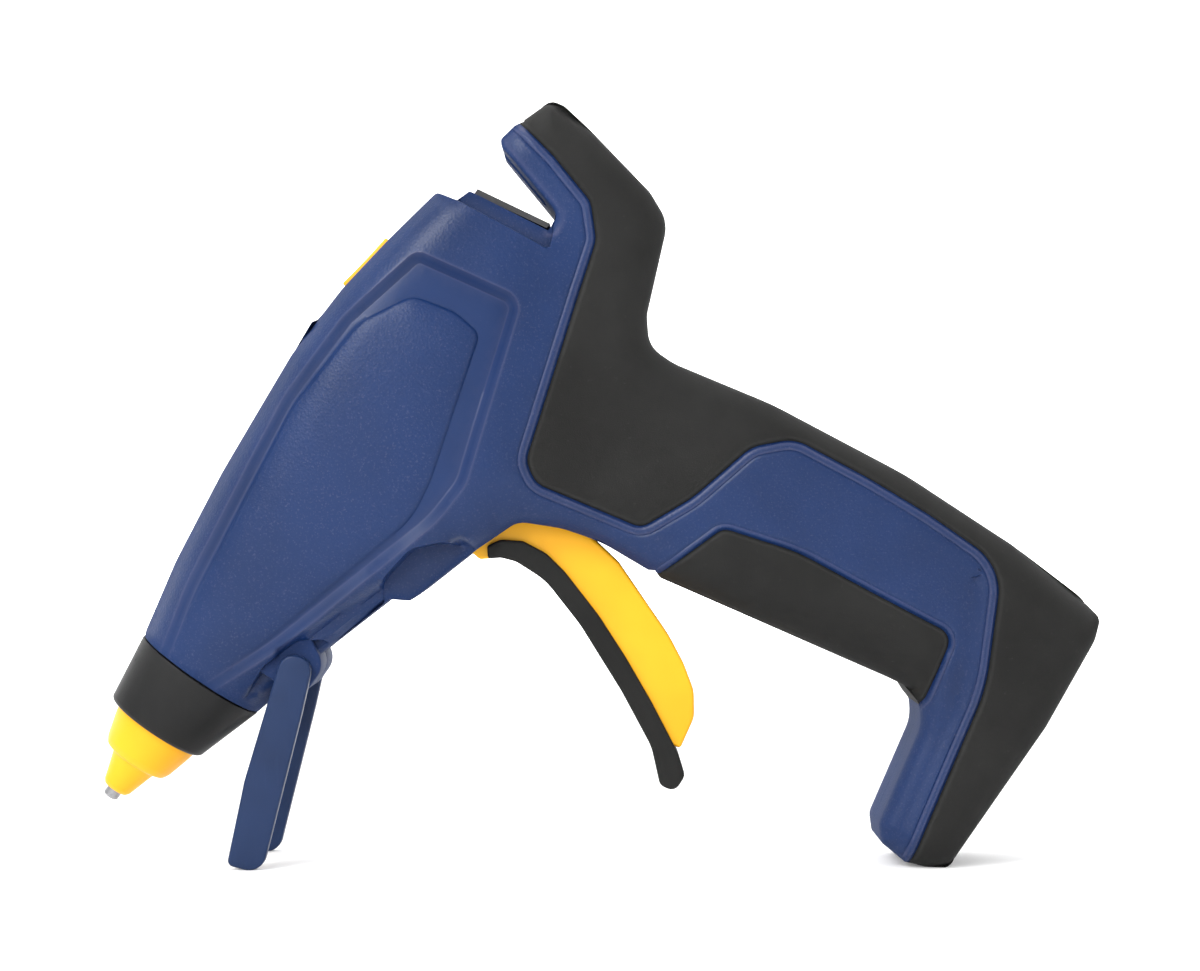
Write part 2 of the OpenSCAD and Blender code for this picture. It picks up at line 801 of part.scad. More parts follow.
module jaw_pin() {
    color("silver") lean() rod_y(jaw_pivot, -5, 5, jaw_pin_r);
}

module stick_guide() {
    color(black) lean() difference() {
        union() {
            rod_x(guide_x[0], guide_x[1] - 0.8, guide_r + 1.7);
            intersection() {
                both(half_handle - 2.6)
                    polygon([[inlet_x - 2, 8.6], [inlet_x - 0.6, 8.6], [inlet_x + 2.2, -8.6],
                             [inlet_x + 1, -8.6]]);
                block([inlet_x - 4, -30, -8.8], [inlet_x + 4, 30, 9]);
            }
        }
        rod_x(guide_x[0] - 1, guide_x[1] + 4, guide_r);
        block([guide_x[1] + 2, -30, -30], [guide_x[1] + 10, 30, 30]);
    }
}

// ---------------------------------------------------------------- trigger

lever_side = concat(
    [[89.9, -36.4], [90.2, -39.2], [93.6, -41.4], [96.6, -41.8], [99.2, -46.5], [100.3, -50.5],
     [99.5, -56.5], [96.3, -66.5], [92, -79.6], [87.6, -88.8], [83.2, -95.4], [82.9, -97.4],
     [88.6, -96.2], [93.4, -92.8], [96.9, -88], [100.2, -81.6], [107.2, -63.2], [109.5, -50]],
    arc(trigger_pivot, 8.4, -25, 20, 3),
    [[link[0] + 3.6, link[1] - 5], [link[0] + 3.6, link[1] + 2.6], [link[0] + 1.9, link[1] + 2.6]]);

module trigger_lever() {
    color(yellow) lean() difference() {
        union() {
            both(trigger_half) intersection() {
                trigger_side();
                translate([60, -120]) square([80, 94.5]);
            }
            both(arm_half) trigger_side();
        }
        rod_y(trigger_pivot, -20, 20, trigger_pin_r + run);
    }
}

// Lever with its arm, whose open slot takes the carriage's pin
module trigger_side() {
    difference() {
        polygon([for (p = lever_side) p, link + [-1.9, 2.6], link + [-3.6, 2.6], link + [-3.8, -6],
                 [96, -26.5], [91.5, -31]]);
        translate(link - [link_r + 0.35, 4]) square([2 * link_r + 0.7, 10]);
        translate(link - [0, 4]) circle(link_r + 0.35);
    }
}

module trigger_pad() {
    color(black) lean() both(pad_half) difference() {
        rounded(0.8) polygon([[90.2, -39.6], [93.6, -41.6], [95.6, -46.8], [94.4, -52.5],
                              [90.4, -66.5], [86.9, -76.8], [82.8, -86], [78.5, -92.6], [72, -98.4],
                              [71.8, -100.4], [73.6, -101.9], [76.2, -101.8], [83, -96.4],
                              [88.2, -88.8], [92.4, -79.6], [96.7, -66.5], [99.9, -56.5],
                              [100.6, -50.2], [99.2, -45.8], [96.6, -41.2]]);
        offset(delta = 0.05) polygon(lever_side);
    }
}

module trigger_pin() {
    color("silver") lean() rod_y(trigger_pivot, -half_handle + 3.6, half_handle - 3.6, trigger_pin_r);
}

// ---------------------------------------------------------------- power

module power_button() {
    color(yellow) lean() button_frame() difference() {
        union() {
            block([-button_len / 2, -button_w / 2, -4], [button_len / 2, button_w / 2, button_proud]);
            block([-button_len / 2 - rim_w, -button_w / 2 - rim_w, -4],
                  [button_len / 2 + rim_w, button_w / 2 + rim_w, rim_top]);
            block([-2, -2, switch_floor + 5.2 - button_at[1]], [2, 2, -3.9]);
        }
        // finger hollow on the top
        translate([0, -10, 18 + button_proud - 0.5]) rotate([-90, 0, 0]) cylinder(h = 20, r = 18);
    }
}

module switch_board() {
    color("#1f6b3a") lean() block([button_at[0] - 9, -7.5, switch_floor - 1.6],
                                  [button_at[0] + 9, 7.5, switch_floor]);
}

module power_switch() {
    color("#303236") lean() {
        block([button_at[0] - 3, -3, switch_floor], [button_at[0] + 3, 3, switch_floor + 3.4]);
        translate([button_at[0], 0, switch_floor + 3.3]) cylinder(h = 1, r = 1.6);
    }
}

board_y = [6, 7.6];
board_side = [[124, -51], [124, -27], [151, -24], [151, -30], [143, -35], [140, -41], [140, -51]];

module control_board() {
    color("#1f6b3a") lean() {
        slab(board_y[0], board_y[1]) polygon(board_side);
        block([127, board_y[0] - 2.2, -38], [134, board_y[0], -31]);
        block([136, board_y[0] - 4, -35], [142, board_y[0], -29]);
        block([128, board_y[0] - 1.4, -48], [132, board_y[0], -44]);
        rod_y([137, -46], board_y[0] - 5, board_y[0], 2.5);
    }
}

port_at = [179.2, -13.8];
port_turn = 11.5;

module port_frame() {
    translate([port_at[0], 0, port_at[1]]) rotate([0, port_turn, 0]) children();
}

module charge_room() {
    port_frame() {
        block([-1.6, -6.2, -3.2], [4, 6.2, 3.2]);
        block([-12, -4.6, -1.9], [2, 4.6, 1.9]);
    }
}

module charge_port() {
    color("silver") lean() port_frame() difference() {
        block([-9, -4.47, -1.63], [-1.7, 4.47, 1.63]);
        block([-8, -4.17, -1.33], [0, 4.17, 1.33]);
    }
}

module cell_frame() {
    translate([cell_top[0], 0, cell_top[1]]) rotate([0, -cell_lean, 0]) children();
}

module battery_cell() {
    color("#3f7fbf") lean() cell_frame() {
        translate([0, 0, -cell_len]) cylinder(h = cell_len, r = cell_r);
        translate([0, 0, -eps]) cylinder(h = 0.6, r = 3);
    }
}

module battery_tabs() {
    color("#c8c8c8") lean() cell_frame() {
        block([-8, -3, 0.6], [5, 3, 0.9]);
        block([-8, -3, -cell_len - 0.35], [5, 3, -cell_len - 0.05]);
    }
}

lead_r = 0.7;

module battery_leads() {
    color("#c0392b") lean() {
        lead([[128, -2, -73.2], [127, -1, -70], [132.5, 3.2, -68], [133, 6.8 - 1.6, -52.2]], lead_r);
    }
}

module heater_leads() {
    color("#c0392b") lean() for (side = [-1, 1])
        lead([[heater_x[1] - 0.3, side * 2.6, -9.9], [68.5, side * 2.6, -9.9],
              [73, side * 8, -11.6], [78, side * 10.4, -11.8], [116, side * 10.4, -11.8],
              [122, side * 8.6, -15.5], [125, side > 0 ? 8.6 : 0, -21],
              [127, side > 0 ? 8.4 : 5.2, -29]], lead_r);
}

module sensor_leads() {
    color("#e8e8e8") lean()
        lead([[heater_x[1] - 0.9, 0, sensor_z], [75, 0, sensor_z + 2.2], [79, 10, sensor_z + 2.4],
              [117, 12.4, 11.6], [120.5, 13, -1], [124.5, 9.6, -12], [128, 9, -24],
              [130, 8.1, -30]], lead_r * 0.7);
}

module switch_leads() {
    color("#202020") lean()
        lead([[126, 6.6, switch_floor - 2], [127, 9.6, switch_floor - 5], [133, 10, -8],
              [135.5, 8.8, -18], [138, 8.2, -28]], lead_r * 0.7);
}

module port_leads() {
    color("#c0392b") lean()
        lead([[169.2, 0, -12.2], [166.5, 0.5, -13.6], [162, 2, -16.5], [157, 4, -23],
              [150, board_y[0] - 1.2, -27.5]], lead_r);
}

// ---------------------------------------------------------------- stand

module leg_frame() {
    translate([stand_pivot[0], 0, stand_pivot[1]]) rotate([0, -180 - stand_open, 0]) children();
}

// Leg seen from the side: u runs to the foot, v to the side away from the nozzle
module leg_side() {
    hull() {
        circle(leg_w / 2 - 0.9);
        translate([9, 0]) circle(leg_w / 2 - 0.5);
        translate([leg_len - foot_r, foot_side]) circle(foot_r);
        translate([leg_len - 1.2, -leg_w / 2 + 1.2]) circle(1.2);
        translate([leg_len * 0.45, -leg_w / 2 + 1]) circle(1);
    }
}

module stand() {
    color(blue) lean() leg_frame() difference() {
        union() {
            for (side = [0, 1]) mirror([0, side, 0])
                slab(leg_gap / 2, leg_gap / 2 + leg_t) leg_side();
            both(leg_gap / 2 + 1) translate(bridge) circle(1.3);
        }
        rod_y([0, 0], -30, 30, stand_pin_r + run);
    }
}

module stand_pin() {
    color("silver") lean()
        rod_y(stand_pivot, -leg_gap / 2 - leg_t + 0.2, leg_gap / 2 + leg_t - 0.2, stand_pin_r);
}

// ---------------------------------------------------------------- screws

module housing_screws() {
    color("#55565a") lean() for (p = screws) difference() {
        union() {
            rod_y(p, -screw_reach, screw_seat_y + 0.5, screw_r);
            rod_y(p, screw_seat_y + 0.02, screw_seat_y + 2, screw_head_r);
        }
        for (turn = [0, 90])
            translate([p[0], screw_seat_y + 1.2, p[1]]) rotate([0, turn, 0])
                cube([screw_head_r * 1.2, 4, 0.7], center = true);
    }
}

housing_left();
housing_right();
grip_rear_left();
grip_rear_right();
grip_front_left();
grip_front_right();
nose_ring();
nozzle_sleeve();
nozzle_tip();
check_ball();
valve_spring();
melt_chamber();
heater_element();
thermal_sensor();
chamber_mount_front();
chamber_mount_rear();
inlet_sleeve();
sleeve_clamp();
return_spring();
feed_carriage();
link_pin();
grip_jaw();
jaw_pin();
stick_guide();
trigger_lever();
trigger_pad();
trigger_pin();
power_button();
switch_board();
power_switch();
control_board();
charge_port();
battery_cell();
battery_tabs();
battery_leads();
heater_leads();
sensor_leads();
switch_leads();
port_leads();
stand();
stand_pin();
housing_screws();
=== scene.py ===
"""Looks of a cordless hot-melt glue gun that stands on its fold-out stand.

Shapes are drawn in gun axes, in millimetres: x runs back from the nozzle's tip along the
barrel, z is up from the barrel's axis and y runs to the gun's right. Stance tips them over to
the way the gun stands, in metres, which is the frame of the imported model.
"""

import json
import logging
import math
from dataclasses import dataclass
from enum import Enum
from typing import Callable, Iterable, Optional, Sequence

import bmesh
import bpy
import numpy as np
from mathutils import Matrix, Vector
from mathutils.geometry import delaunay_2d_cdt

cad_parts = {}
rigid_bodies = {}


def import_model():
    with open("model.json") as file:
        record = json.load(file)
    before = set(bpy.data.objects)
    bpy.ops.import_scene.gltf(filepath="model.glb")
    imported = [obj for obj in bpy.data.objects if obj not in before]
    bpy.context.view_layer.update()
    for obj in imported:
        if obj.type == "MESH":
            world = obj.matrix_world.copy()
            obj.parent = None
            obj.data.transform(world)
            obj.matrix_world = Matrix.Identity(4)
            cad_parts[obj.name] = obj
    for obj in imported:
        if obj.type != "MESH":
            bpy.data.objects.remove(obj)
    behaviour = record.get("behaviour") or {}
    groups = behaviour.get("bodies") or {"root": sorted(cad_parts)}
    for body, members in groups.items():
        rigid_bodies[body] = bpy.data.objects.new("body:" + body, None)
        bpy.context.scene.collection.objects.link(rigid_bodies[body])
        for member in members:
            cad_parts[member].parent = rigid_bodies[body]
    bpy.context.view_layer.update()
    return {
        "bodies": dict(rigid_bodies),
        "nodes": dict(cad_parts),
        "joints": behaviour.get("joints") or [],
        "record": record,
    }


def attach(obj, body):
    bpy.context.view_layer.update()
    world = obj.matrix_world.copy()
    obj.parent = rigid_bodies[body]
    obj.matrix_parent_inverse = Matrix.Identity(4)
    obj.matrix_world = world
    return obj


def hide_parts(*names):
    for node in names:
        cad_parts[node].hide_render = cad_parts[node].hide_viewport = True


log = logging.getLogger("glue_gun")

Point = tuple[float, float]


class Side(Enum):
    """The two sides of the gun, by the sign of y."""

    LEFT = -1
    RIGHT = 1


# ---------------------------------------------------------------- placing


@dataclass(frozen=True)
class Stance:
    """How the gun stands: its lean and where its box is centred."""

    lean: float = 55.2
    mid_x: float = 109.113
    floor_z: float = -14.1355

    def matrix(self) -> Matrix:
        """Gun axes in millimetres to the row's frame in metres."""
        return (
            Matrix.Scale(0.001, 4)
            @ Matrix.Translation((-self.mid_x, 0, -self.floor_z))
            @ Matrix.Rotation(math.radians(-self.lean), 4, "Y")
        )


STANCE = Stance()
STAND_PIVOT: Point = (48.0, -18.7)


# ---------------------------------------------------------------- outlines


@dataclass(frozen=True)
class Corner:
    """A corner of an outline, with the radius it is rounded to."""

    x: float
    z: float
    r: float = 0.0


def corners(*values: tuple[float, ...]) -> list[Corner]:
    """Corners from (x, z) or (x, z, radius) triples."""
    return [Corner(*v) for v in values]


def outline(points: Sequence[Corner], step: float = 1.0, closed: bool = True) -> np.ndarray:
    """Rounds the corners of an outline and samples it evenly.

    Args:
        points: the corners in order.
        step: distance between samples.
        closed: whether the last corner joins the first.

    Returns:
        The samples, one row each.
    """
    place = [np.array([c.x, c.z]) for c in points]
    count = len(place)
    chain: list[np.ndarray] = []
    for i, corner in enumerate(points):
        here = place[i]
        ends = not closed and i in (0, count - 1)
        if corner.r <= 0 or ends:
            chain.append(here)
            continue
        back, ahead = place[i - 1] - here, place[(i + 1) % count] - here
        a, b = np.linalg.norm(back), np.linalg.norm(ahead)
        back, ahead = back / a, ahead / b
        half = math.acos(max(-1.0, min(1.0, float(back @ ahead)))) / 2
        if half > math.pi / 2 - 0.004:
            chain.append(here)
            continue
        reach = min(corner.r / math.tan(half), 0.49 * a, 0.49 * b)
        r = reach * math.tan(half)
        centre = here + (back + ahead) / np.linalg.norm(back + ahead) * (r / math.sin(half))
        start, end = here + back * reach, here + ahead * reach
        a0 = math.atan2(*(start - centre)[::-1])
        turn = (math.atan2(*(end - centre)[::-1]) - a0 + math.pi) % (2 * math.pi) - math.pi
        parts = max(2, int(abs(turn) * r / (step * 0.7)), int(abs(turn) / 0.3))
        for k in range(parts + 1):
            angle = a0 + turn * k / parts
            chain.append(centre + r * np.array([math.cos(angle), math.sin(angle)]))
    samples: list[np.ndarray] = []
    for i in range(len(chain) if closed else len(chain) - 1):
        a, b = chain[i], chain[(i + 1) % len(chain)]
        parts = max(1, int(round(np.linalg.norm(b - a) / step)))
        samples += [a + (b - a) * k / parts for k in range(parts)]
    if not closed:
        samples.append(chain[-1])
    kept = [samples[0]]
    for p in samples[1:]:
        if np.linalg.norm(p - kept[-1]) > 0.05:
            kept.append(p)
    if closed and np.linalg.norm(kept[-1] - kept[0]) < 0.05:
        kept.pop()
    return np.array(kept)


def distance(points: np.ndarray, line: np.ndarray, closed: bool) -> tuple[np.ndarray, np.ndarray]:
    """Distance of points to a line of straight stretches.

    Args:
        points: the points, one row each.
        line: the line's points.
        closed: whether the line closes on itself.

    Returns:
        The distances, and how far along the line the nearest places are, from 0 to 1.
    """
    a = line if closed else line[:-1]
    b = np.roll(line, -1, axis=0) if closed else line[1:]
    d = b - a
    length = np.maximum(np.linalg.norm(d, axis=1), 1e-9)
    along = np.concatenate([[0], np.cumsum(length)])
    best = np.full(len(points), 1e9)
    where = np.zeros(len(points))
    for start in range(0, len(points), 4000):
        p = points[start : start + 4000]
        t = ((p[:, None] - a[None]) * d[None]).sum(2) / length**2
        t = np.clip(t, 0, 1)
        gap = np.linalg.norm(p[:, None] - (a[None] + t[..., None] * d[None]), axis=2)
        k = gap.argmin(1)
        rows = np.arange(len(p))
        best[start : start + 4000] = gap[rows, k]
        where[start : start + 4000] = (along[k] + t[rows, k] * length[k]) / along[-1]
    return best, where


def inside(points: np.ndarray, loop: np.ndarray) -> np.ndarray:
    """Which points lie inside a closed loop."""
    x, z = points[:, 0], points[:, 1]
    result = np.zeros(len(points), bool)
    for (x0, z0), (x1, z1) in zip(loop, np.roll(loop, -1, axis=0)):
        crosses = (z0 > z) != (z1 > z)
        with np.errstate(divide="ignore", invalid="ignore"):
            at = (x1 - x0) * (z - z0) / (z1 - z0) + x0
        result ^= crosses & (x < at)
    return result


def signed(points: np.ndarray, loop: np.ndarray) -> np.ndarray:
    """Distance to a closed loop, positive inside it."""
    return distance(points, loop, True)[0] * np.where(inside(points, loop), 1, -1)


def shifted(line: np.ndarray, by: float, closed: bool = True) -> list[np.ndarray]:
    """Copies a line to one side of itself, without the stretches that would cross it.

    Args:
        line: the line's points.
        by: distance, positive to the left of the line's direction.
        closed: whether the line closes on itself.

    Returns:
        The stretches that are left.
    """
    ahead = np.roll(line, -1, axis=0) - line
    if not closed:
        ahead[-1] = ahead[-2]
    ahead /= np.maximum(np.linalg.norm(ahead, axis=1, keepdims=True), 1e-9)
    back = np.roll(ahead, 1, axis=0)
    if not closed:
        back[0] = ahead[0]
    tangent = ahead + back
    tangent /= np.maximum(np.linalg.norm(tangent, axis=1, keepdims=True), 1e-9)
    moved = line + by * np.stack([-tangent[:, 1], tangent[:, 0]], axis=1)
    keep = distance(moved, line, closed)[0] > abs(by) * 0.96
    runs: list[np.ndarray] = []
    run: list[np.ndarray] = []
    for i in range(len(moved) + (1 if closed else 0)):
        k = i % len(moved)
        if keep[k]:
            run.append(moved[k])
        elif run:
            runs.append(np.array(run))
            run = []
    if run:
        runs.append(np.array(run))
    return [r for r in runs if len(r) > 1]


def soft_step(value: np.ndarray, low: float, high: float) -> np.ndarray:
    """Smooth rise from 0 at low to 1 at high."""
    t = np.clip((value - low) / (high - low), 0, 1)
    return t * t * (3 - 2 * t)


def smooth_curve(value: np.ndarray, places: Sequence[float], heights: Sequence[float]) -> np.ndarray:
    """Smooth curve through a few stations, flat beyond the ends."""
    xs, ys = np.array(places, float), np.array(heights, float)
    slope = np.gradient(ys, xs)
    v = np.clip(value, xs[0], xs[-1])
    k = np.clip(np.searchsorted(xs, v) - 1, 0, len(xs) - 2)
    span = xs[k + 1] - xs[k]
    t = (v - xs[k]) / span
    return (
        (2 * t**3 - 3 * t**2 + 1) * ys[k]
        + (t**3 - 2 * t**2 + t) * span * slope[k]
        + (3 * t**2 - 2 * t**3) * ys[k + 1]
        + (t**3 - t**2) * span * slope[k + 1]
    )


# ---------------------------------------------------------------- modelling by hand


class Bench:
    """Modelling moves shared by the turned, pressed and cut pieces."""

    @staticmethod
    def clear() -> None:
        """Leaves edit mode and deselects everything."""
        if bpy.context.object and bpy.context.object.mode != "OBJECT":
            bpy.ops.object.mode_set(mode="OBJECT")
        bpy.ops.object.select_all(action="DESELECT")

    @staticmethod
    def pick(obj: bpy.types.Object) -> None:
        """Makes obj the one selected and active object."""
        Bench.clear()
        obj.select_set(True)
        bpy.context.view_layer.objects.active = obj

    @staticmethod
    def laid_ring(name: str, points: Sequence[Sequence[float]], filled: bool) -> bpy.types.Object:
        """Adds a circle and lays its points out as an outline.

        Args:
            name: the new piece's name.
            points: where the ring's points go.
            filled: whether the ring gets a face.

        Returns:
            The new object.
        """
        Bench.clear()
        bpy.ops.mesh.primitive_circle_add(
            vertices=len(points), radius=1, fill_type="NGON" if filled else "NOTHING"
        )
        obj = bpy.context.object
        obj.name = obj.data.name = name
        for vertex, place in zip(obj.data.vertices, points):
            vertex.co = place
        return obj

    @staticmethod
    def edit(obj: bpy.types.Object, *moves: Callable[[], object]) -> None:
        """Runs operators on all of obj in edit mode."""
        Bench.pick(obj)
        bpy.ops.object.mode_set(mode="EDIT")
        bpy.ops.mesh.select_all(action="SELECT")
        for move in moves:
            move()
        bpy.ops.object.mode_set(mode="OBJECT")

    @staticmethod
    def outward(obj: bpy.types.Object) -> None:
        """Merges doubled points and turns the faces outwards."""
        Bench.edit(
            obj,
            lambda: bpy.ops.mesh.remove_doubles(threshold=0.0005),
            lambda: bpy.ops.mesh.normals_make_consistent(inside=False),
        )

    @staticmethod
    def modify(obj: bpy.types.Object, kind: str, **settings: object) -> None:
        """Adds one modifier with its settings and applies it."""
        Bench.pick(obj)
        made = obj.modifiers.new(kind.lower(), kind)
        for key, value in settings.items():
            setattr(made, key, value)
        bpy.ops.object.modifier_apply(modifier=made.name)

    @staticmethod
    def soften(obj: bpy.types.Object, width: float, segments: int = 3, angle: float = 40) -> None:
        """Rounds the edges that turn by more than an angle."""
        Bench.modify(
            obj,
            "BEVEL",
            width=width,
            segments=segments,
            limit_method="ANGLE",
            angle_limit=math.radians(angle),
            use_clamp_overlap=True,
            harden_normals=False,
        )

    @staticmethod
    def shade(obj: bpy.types.Object, angle: float = 35) -> None:
        """Shades smooth across edges that turn by less than an angle."""
        Bench.pick(obj)
        bpy.ops.object.shade_smooth_by_angle(angle=math.radians(angle))

    @staticmethod
    def prism(
        name: str, shape: np.ndarray, y0: float, y1: float, edge: float = 0.0, segments: int = 3
    ) -> bpy.types.Object:
        """Presses a side view out to a slab with rounded edges.

        Args:
            name: the new piece's name.
            shape: the side view's points.
            y0: where the slab starts.
            y1: where it ends.
            edge: radius of its edges.
            segments: facets of each rounded edge.

        Returns:
            The new object.
        """
        obj = Bench.laid_ring(name, [(x, y0, z) for x, z in shape], True)
        Bench.edit(
            obj,
            lambda: bpy.ops.mesh.extrude_region_move(
                TRANSFORM_OT_translate={"value": (0, y1 - y0, 0)}
            ),
        )
        Bench.outward(obj)
        if edge > 0:
            Bench.soften(obj, edge, segments, 60)
        return obj

    @staticmethod
    def turned(name: str, profile: Sequence[Point], steps: int = 96) -> bpy.types.Object:
        """Spins a closed profile about the barrel's axis.

        Args:
            name: the new piece's name.
            profile: (place along the barrel, radius) points of the closed profile.
            steps: stretches round the axis.

        Returns:
            The new object.
        """
        obj = Bench.laid_ring(name, [(x, 0, r) for x, r in profile], False)
        Bench.edit(
            obj,
            lambda: bpy.ops.mesh.spin(
                steps=steps, angle=2 * math.pi, center=(0, 0, 0), axis=(1, 0, 0), dupli=False
            ),
        )
        Bench.outward(obj)
        return obj

    @staticmethod
    def join(name: str, parts: Sequence[bpy.types.Object]) -> bpy.types.Object:
        """Joins parts into one piece."""
        Bench.pick(parts[0])
        for part in parts[1:]:
            part.select_set(True)
        bpy.ops.object.join()
        joined = bpy.context.object
        joined.name = joined.data.name = name
        return joined

    @staticmethod
    def stand_up(obj: bpy.types.Object) -> None:
        """Puts a piece drawn in gun axes where the gun stands, with its place in its mesh."""
        obj.data.transform(STANCE.matrix())
        obj.data.update()


# ---------------------------------------------------------------- shader building


class Signal:
    """A shader socket that takes part in sums, so that shader maths reads as a formula."""

    def __init__(self, paint: "Paint", socket: bpy.types.NodeSocket) -> None:
        """Keeps the socket and the material it belongs to."""
        self.paint = paint
        self.socket = socket

    def _maths(self, operation: str, a: object, b: object) -> "Signal":
        """Adds one Math node."""
        return self.paint.node("Math", {"operation": operation}, a, b)

    def __add__(self, other: object) -> "Signal":
        """self + other."""
        return self._maths("ADD", self, other)

    def __radd__(self, other: object) -> "Signal":
        """other + self."""
        return self._maths("ADD", other, self)

    def __sub__(self, other: object) -> "Signal":
        """self - other."""
        return self._maths("SUBTRACT", self, other)

    def __rsub__(self, other: object) -> "Signal":
        """other - self."""
        return self._maths("SUBTRACT", other, self)

    def __mul__(self, other: object) -> "Signal":
        """self * other."""
        return self._maths("MULTIPLY", self, other)

    def __rmul__(self, other: object) -> "Signal":
        """other * self."""
        return self._maths("MULTIPLY", other, self)

    def band(self, low: float, high: float) -> "Signal":
        """Smooth rise from 0 at low to 1 at high."""
        return self.paint.node(
            "MapRange",
            {"interpolation_type": "SMOOTHSTEP"}, self, low, high, 0.0, 1.0
        )


class Paint:
    """Builds one procedural material."""

    def __init__(self, name: str) -> None:
        """Starts a material with an empty tree."""
        self.material = bpy.data.materials.new(name)
        self.material.use_nodes = True
        self.tree = self.material.node_tree
        self.tree.nodes.clear()

    def node(
        self, kind: str, settings: Optional[dict] = None, *values: object, out: object = 0, **named: object
    ) -> Signal:
        """Adds a node.

        Args:
            kind: the node's type without its ShaderNode prefix.
            settings: what is set on the node before its sockets.
            values: values or links of its first sockets, None to leave one alone.
            out: the output that is returned.
            named: values or links of sockets by name, with _ for a space.

        Returns:
            The node's output.
        """
        node = self.tree.nodes.new(f"ShaderNode{kind}")
        for key, value in (settings or {}).items():
            setattr(node, key, value)
        for i, value in enumerate(values):
            if value is not None:
                self._fill(node.inputs[i], value)
        for key, value in named.items():
            self._fill(node.inputs[key.replace("_", " ")], value)
        return Signal(self, node.outputs[out] if node.outputs else None)

    def _fill(self, socket: bpy.types.NodeSocket, value: object) -> None:
        """Sets or links one input."""
        if isinstance(value, Signal):
            self.tree.links.new(value.socket, socket)
        elif isinstance(value, tuple) and len(value) == 3 and socket.type == "RGBA":
            socket.default_value = (*value, 1.0)
        else:
            socket.default_value = value

    def place(self) -> Signal:
        """Object coordinates."""
        return self.node("TexCoord", out="Object")

    def noise(self, size: float, detail: float = 3.0, rough: float = 0.55) -> Signal:
        """Noise whose lumps are about size metres across."""
        return self.node(
            "TexNoise",
            None,
            Vector=self.place(),
            Scale=1.0 / size,
            Detail=detail,
            Roughness=rough,
        )

    def cells(self, size: float) -> Signal:
        """Small random cells about size metres across, as distance to their middles."""
        return self.node("TexVoronoi", {"feature": "F1"}, Vector=self.place(), Scale=1.0 / size)

    def mark(self, name: str) -> Signal:
        """A value that the piece carries on its points."""
        return self.node("Attribute", {"attribute_name": name}, out="Fac")

    def blend(self, share: object, a: object, b: object) -> Signal:
        """Colour a where share is 0 and b where it is 1."""
        node = self.tree.nodes.new("ShaderNodeMix")
        node.data_type = "RGBA"
        self._fill(node.inputs[0], share)
        self._fill(node.inputs[6], a)
        self._fill(node.inputs[7], b)
        return Signal(self, node.outputs[2])

    def bump(self, height: Signal, depth: float, strength: float) -> Signal:
        """Bump of a real depth in metres."""
        return self.node("Bump", None, Height=height, Distance=depth, Strength=strength)

    def finish(self, **sockets: object) -> bpy.types.Material:
        """Ends the tree in one shader.

        Args:
            sockets: values or links of the shader's inputs, with _ for a space.

        Returns:
            The material.
        """
        shader = self.node("BsdfPrincipled", None, **sockets)
        self.node("OutputMaterial", None, shader)
        return self.material


# ---------------------------------------------------------------- finishes


@dataclass(frozen=True)
class GrainedPlastic:
    """Fine-grained satin housing plastic, with lighter grain and a painted highlight along edges where
    marked.
    """

    name: str = "grained_blue"
    deep: tuple = (0.0030, 0.0165, 0.070)
    base: tuple = (0.0048, 0.0220, 0.090)
    pale: tuple = (0.160, 0.150, 0.230)
    grain_size: float = 0.00042

    def material(self) -> bpy.types.Material:
        """Builds the material."""
        p = Paint(self.name)
        grain = p.mark("grain")
        edge = p.mark("edge")
        broad = p.noise(0.03, 2.0).band(0.3, 0.7)
        fine = p.noise(self.grain_size, 2.0, 0.6)
        pits = p.cells(self.grain_size * 1.5)
        fleck = fine.band(0.56, 0.72) * grain
        ground = p.blend(broad, self.deep, self.base)
        speckled = p.blend(fleck * 0.16, ground, self.pale)
        # painted highlight: pale colour mixed in along the marked edges
        lit = p.blend(edge * 0.55, speckled, self.pale)
        dust = p.noise(0.0021, 4.0, 0.7).band(0.66, 0.80)
        colour = p.blend(dust * 0.06, lit, (0.20, 0.20, 0.26))
        rough = 0.25 + 0.06 * grain + 0.10 * fine + 0.05 * broad + 0.45 * p.mark("wall")
        height = fine * 0.6 + pits * 0.6
        normal = p.bump(height * grain, 0.00011, 0.75)
        return p.finish(
            Base_Color=colour, Roughness=rough, Normal=normal, Specular_IOR_Level=0.27
        )


@dataclass(frozen=True)
class SmoothPlastic:
    """Smooth moulded plastic with faint flow streaks and handling marks."""

    name: str
    deep: tuple
    base: tuple
    rough: float = 0.34
    streak: float = 0.15
    soft: float = 0.0
    shine: float = 0.4

    def material(self) -> bpy.types.Material:
        """Builds the material."""
        p = Paint(self.name)
        stretched = p.node(
            "Mapping", None, p.place(), None, (0.0, math.radians(15), 0.0), (9.0, 1.0, 1.0)
        )
        flow = p.node("TexNoise", None, Vector=stretched, Scale=90.0, Detail=3.0, Roughness=0.6)
        broad = p.noise(0.02, 2.0).band(0.3, 0.7)
        fine = p.noise(0.0006, 2.0)
        marks = p.noise(0.004, 5.0, 0.75).band(0.62, 0.78)
        ground = p.blend(broad, self.deep, self.base)
        colour = p.blend(
            flow.band(0.55, 0.75) * self.streak, ground, tuple(min(1, c * 1.9 + 0.02) for c in self.base)
        )
        rough = self.rough + 0.07 * fine + 0.16 * marks
        normal = p.bump(fine + flow * 0.5, 0.00003, 0.5)
        return p.finish(
            Base_Color=colour, Roughness=rough, Normal=normal, Subsurface_Weight=self.soft,
            Subsurface_Scale=0.002, Subsurface_Radius=(1.0, 0.6, 0.2), Specular_IOR_Level=self.shine,
        )


